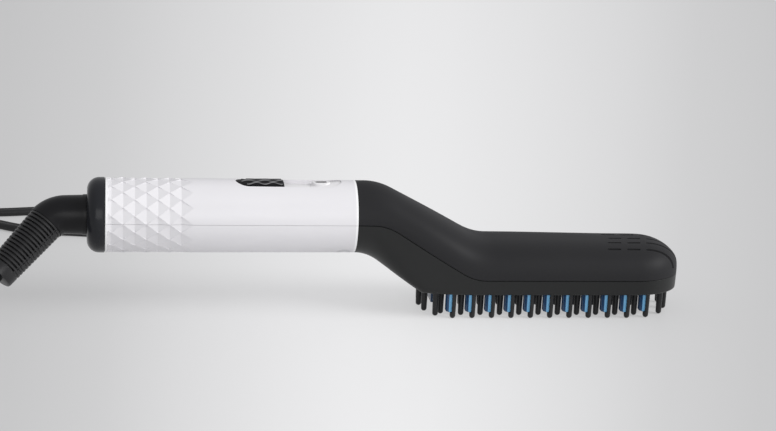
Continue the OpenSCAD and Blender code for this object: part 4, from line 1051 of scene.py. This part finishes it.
# Mains plug: black moulded body with finger grooves, a ribbed neck and insulated pin roots.
# It is moulded on to the cord's end in one piece.
plug_start = Vector((cord_origin - 126, 38, 7)) * mm
plug_way = Vector((0, -1, 0))
neck_profile = [(0, 0), (0, 3.0), (0.4, 3.4)]
for k in range(6):
    r = 3.9 + 0.25 * k
    d = 2.1 * k
    neck_profile += [(d + 0.8, r - 0.8), (d + 1.1, r), (d + 2.2, r), (d + 2.5, r - 0.8)]
plug = turned_mesh(neck_profile + [(13.6, 4.6), (14.5, 5.0), (14.5, 0)], plug_start, plug_way, 40)
body_sections = [(13, 5.2, 5.2, 2.0), (14.5, 7.2, 5.9, 2.2), (17, 10.8, 6.4, 2.6), (20, 13.9, 6.7, 3.2),
                 (23.5, 16.3, 6.8, 4.0), (26, 17, 6.8, 4.4)]
body_sections += [(26 + k, 17 - 0.45 * math.sin(math.pi * k / 4) ** 2, 6.8, 4.4) for k in range(1, 16)]
body_sections += [(41.9, 16.95, 6.75, 4.4), (42.6, 16.6, 6.4, 4.2), (43, 15.9, 5.7, 4.0)]
loops = []
for d, half_x, half_z, power in body_sections:
    loop = bmesh.ops.create_circle(plug, cap_ends=d in (13, 43), segments=64, radius=1)["verts"]
    for corner in loop:
        c, s = corner.co.x, corner.co.y
        reach = (abs(c) ** power + abs(s) ** power) ** (-1 / power)
        corner.co = plug_start + Vector((half_x * c * reach, -d, half_z * s * reach)) * mm
    loops.append(loop)
for a, b in zip(loops, loops[1:]):
    band(plug, a, b)
bmesh.ops.recalc_face_normals(plug, faces=plug.faces)
pin_root = [(42.5, 0), (42.5, 2.4), (43.2, 2.4), (43.4, 1.98), (52.9, 1.98), (53, 1.9), (53, 0)]
for side in (-1, 1):
    added(plug, turned_mesh(pin_root, plug_start + Vector((side * 9.3 * mm, 0, 0)), plug_way, 32))
plug_black = moulded("plug_black", (0.02, 0.02, 0.021), 0.4, 0.2, 2000, 0.00001)
plug_shell = keep_piece("plug_shell", mesh_of(plug, "plug_shell"), plug_black, 40)
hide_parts("plug_body")
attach(plug_shell, "comb_body")
# Floor and studio: a pale sweep with a painted pool of light, lightest behind the comb's middle, under an
# even pale world, with a soft key lamp high at the right and a weak one low in front.
floor_material = bpy.data.materials.new("pale_floor")
floor_material.use_nodes = True
nodes, links = floor_material.node_tree.nodes, floor_material.node_tree.links
floor_shader = nodes["Principled BSDF"]
floor_shader.inputs["Roughness"].default_value = 0.42
floor_shader.inputs["Specular IOR Level"].default_value = 0.3
place = nodes.new("ShaderNodeSeparateXYZ")
links.new(nodes.new("ShaderNodeTexCoord").outputs["Object"], place.inputs[0])


def floor_math(operation, a, b):
    step = nodes.new("ShaderNodeMath")
    step.operation = operation
    for socket, value in zip(step.inputs, (a, b)):
        if isinstance(value, (int, float)):
            socket.default_value = value
        else:
            links.new(value, socket)
    return step.outputs[0]


# the painted pool of light is a wedge that opens away from a point in front of the comb and fades at both
# ends
wedge_x, wedge_y, wedge_lean = -0.08393, -0.68422, 0.154
pool_middle, pool_half_length = 0.3, 0.55
spread = floor_math("DIVIDE", floor_math("SUBTRACT", place.outputs["X"], wedge_x),
                    floor_math("MAXIMUM", floor_math("SUBTRACT", place.outputs["Y"], wedge_y), 0.1))
away = floor_math("ABSOLUTE", floor_math("SUBTRACT", spread, wedge_lean), 0)
along = floor_math("ABSOLUTE", floor_math("SUBTRACT", place.outputs["Y"], pool_middle), 0)
beyond = floor_math("MAXIMUM", floor_math("SUBTRACT", along, pool_half_length), 0)
pool = nodes.new("ShaderNodeValToRGB")
links.new(floor_math("MULTIPLY", floor_math("ADD", away, beyond), 4), pool.inputs["Fac"])
pool.color_ramp.elements.remove(pool.color_ramp.elements[-1])
for at, level in ((0, 0.86), (0.08, 0.85), (0.24, 0.8), (0.45, 0.715), (0.6, 0.64), (0.8, 0.585),
                  (1, 0.57)):
    stop = pool.color_ramp.elements[0] if at == 0 else pool.color_ramp.elements.new(at)
    stop.color = (level, level, level * 1.005, 1)
links.new(pool.outputs["Color"], floor_shader.inputs["Base Color"])
# to the camera and to glossy and clear surfaces the floor half glows by itself, so the sweep stays
# pale and its shadows soft
glow = nodes.new("ShaderNodeEmission")
links.new(pool.outputs["Color"], glow.inputs["Color"])
glow.inputs["Strength"].default_value = 1.08
shown = nodes.new("ShaderNodeMixShader")
rays = nodes.new("ShaderNodeLightPath").outputs
seen = floor_math("ADD", floor_math("ADD", rays["Is Camera Ray"], rays["Is Glossy Ray"]),
                  rays["Is Transmission Ray"])
links.new(floor_math("MULTIPLY", seen, 0.55), shown.inputs["Fac"])
links.new(floor_shader.outputs["BSDF"], shown.inputs[1])
links.new(glow.outputs["Emission"], shown.inputs[2])
links.new(shown.outputs["Shader"], nodes["Material Output"].inputs["Surface"])
floor_mesh = bpy.data.meshes.new("floor")
ground = bmesh.new()
bmesh.ops.create_grid(ground, x_segments=1, y_segments=1, size=3)
ground.to_mesh(floor_mesh)
ground.free()
floor = bpy.data.objects.new("floor", floor_mesh)
floor_mesh.materials.append(floor_material)
bpy.context.collection.objects.link(floor)
world = bpy.data.worlds.new("studio")
bpy.context.scene.world = world
world.use_nodes = True
world.node_tree.nodes["Background"].inputs["Color"].default_value = (0.8, 0.8, 0.82, 1)
world.node_tree.nodes["Background"].inputs["Strength"].default_value = 0.6


def soft_lamp(name, place, aim_at, size, watts):
    lamp_data = bpy.data.lights.new(name, "AREA")
    lamp_data.shape = "RECTANGLE"
    lamp_data.size, lamp_data.size_y = size
    lamp_data.energy = watts
    lamp = bpy.data.objects.new(name, lamp_data)
    lamp.location = place
    lamp.rotation_mode = "QUATERNION"
    lamp.rotation_quaternion = (Vector(aim_at) - Vector(place)).to_track_quat("-Z", "Y")
    bpy.context.collection.objects.link(lamp)


soft_lamp("key", (2.3, -0.85, 1.5), (0, 0, 0.03), (1.6, 1.6), 63)
soft_lamp("fill", (-0.4, -1.9, 0.6), (0, 0, 0.03), (1.6, 1.0), 8.5)
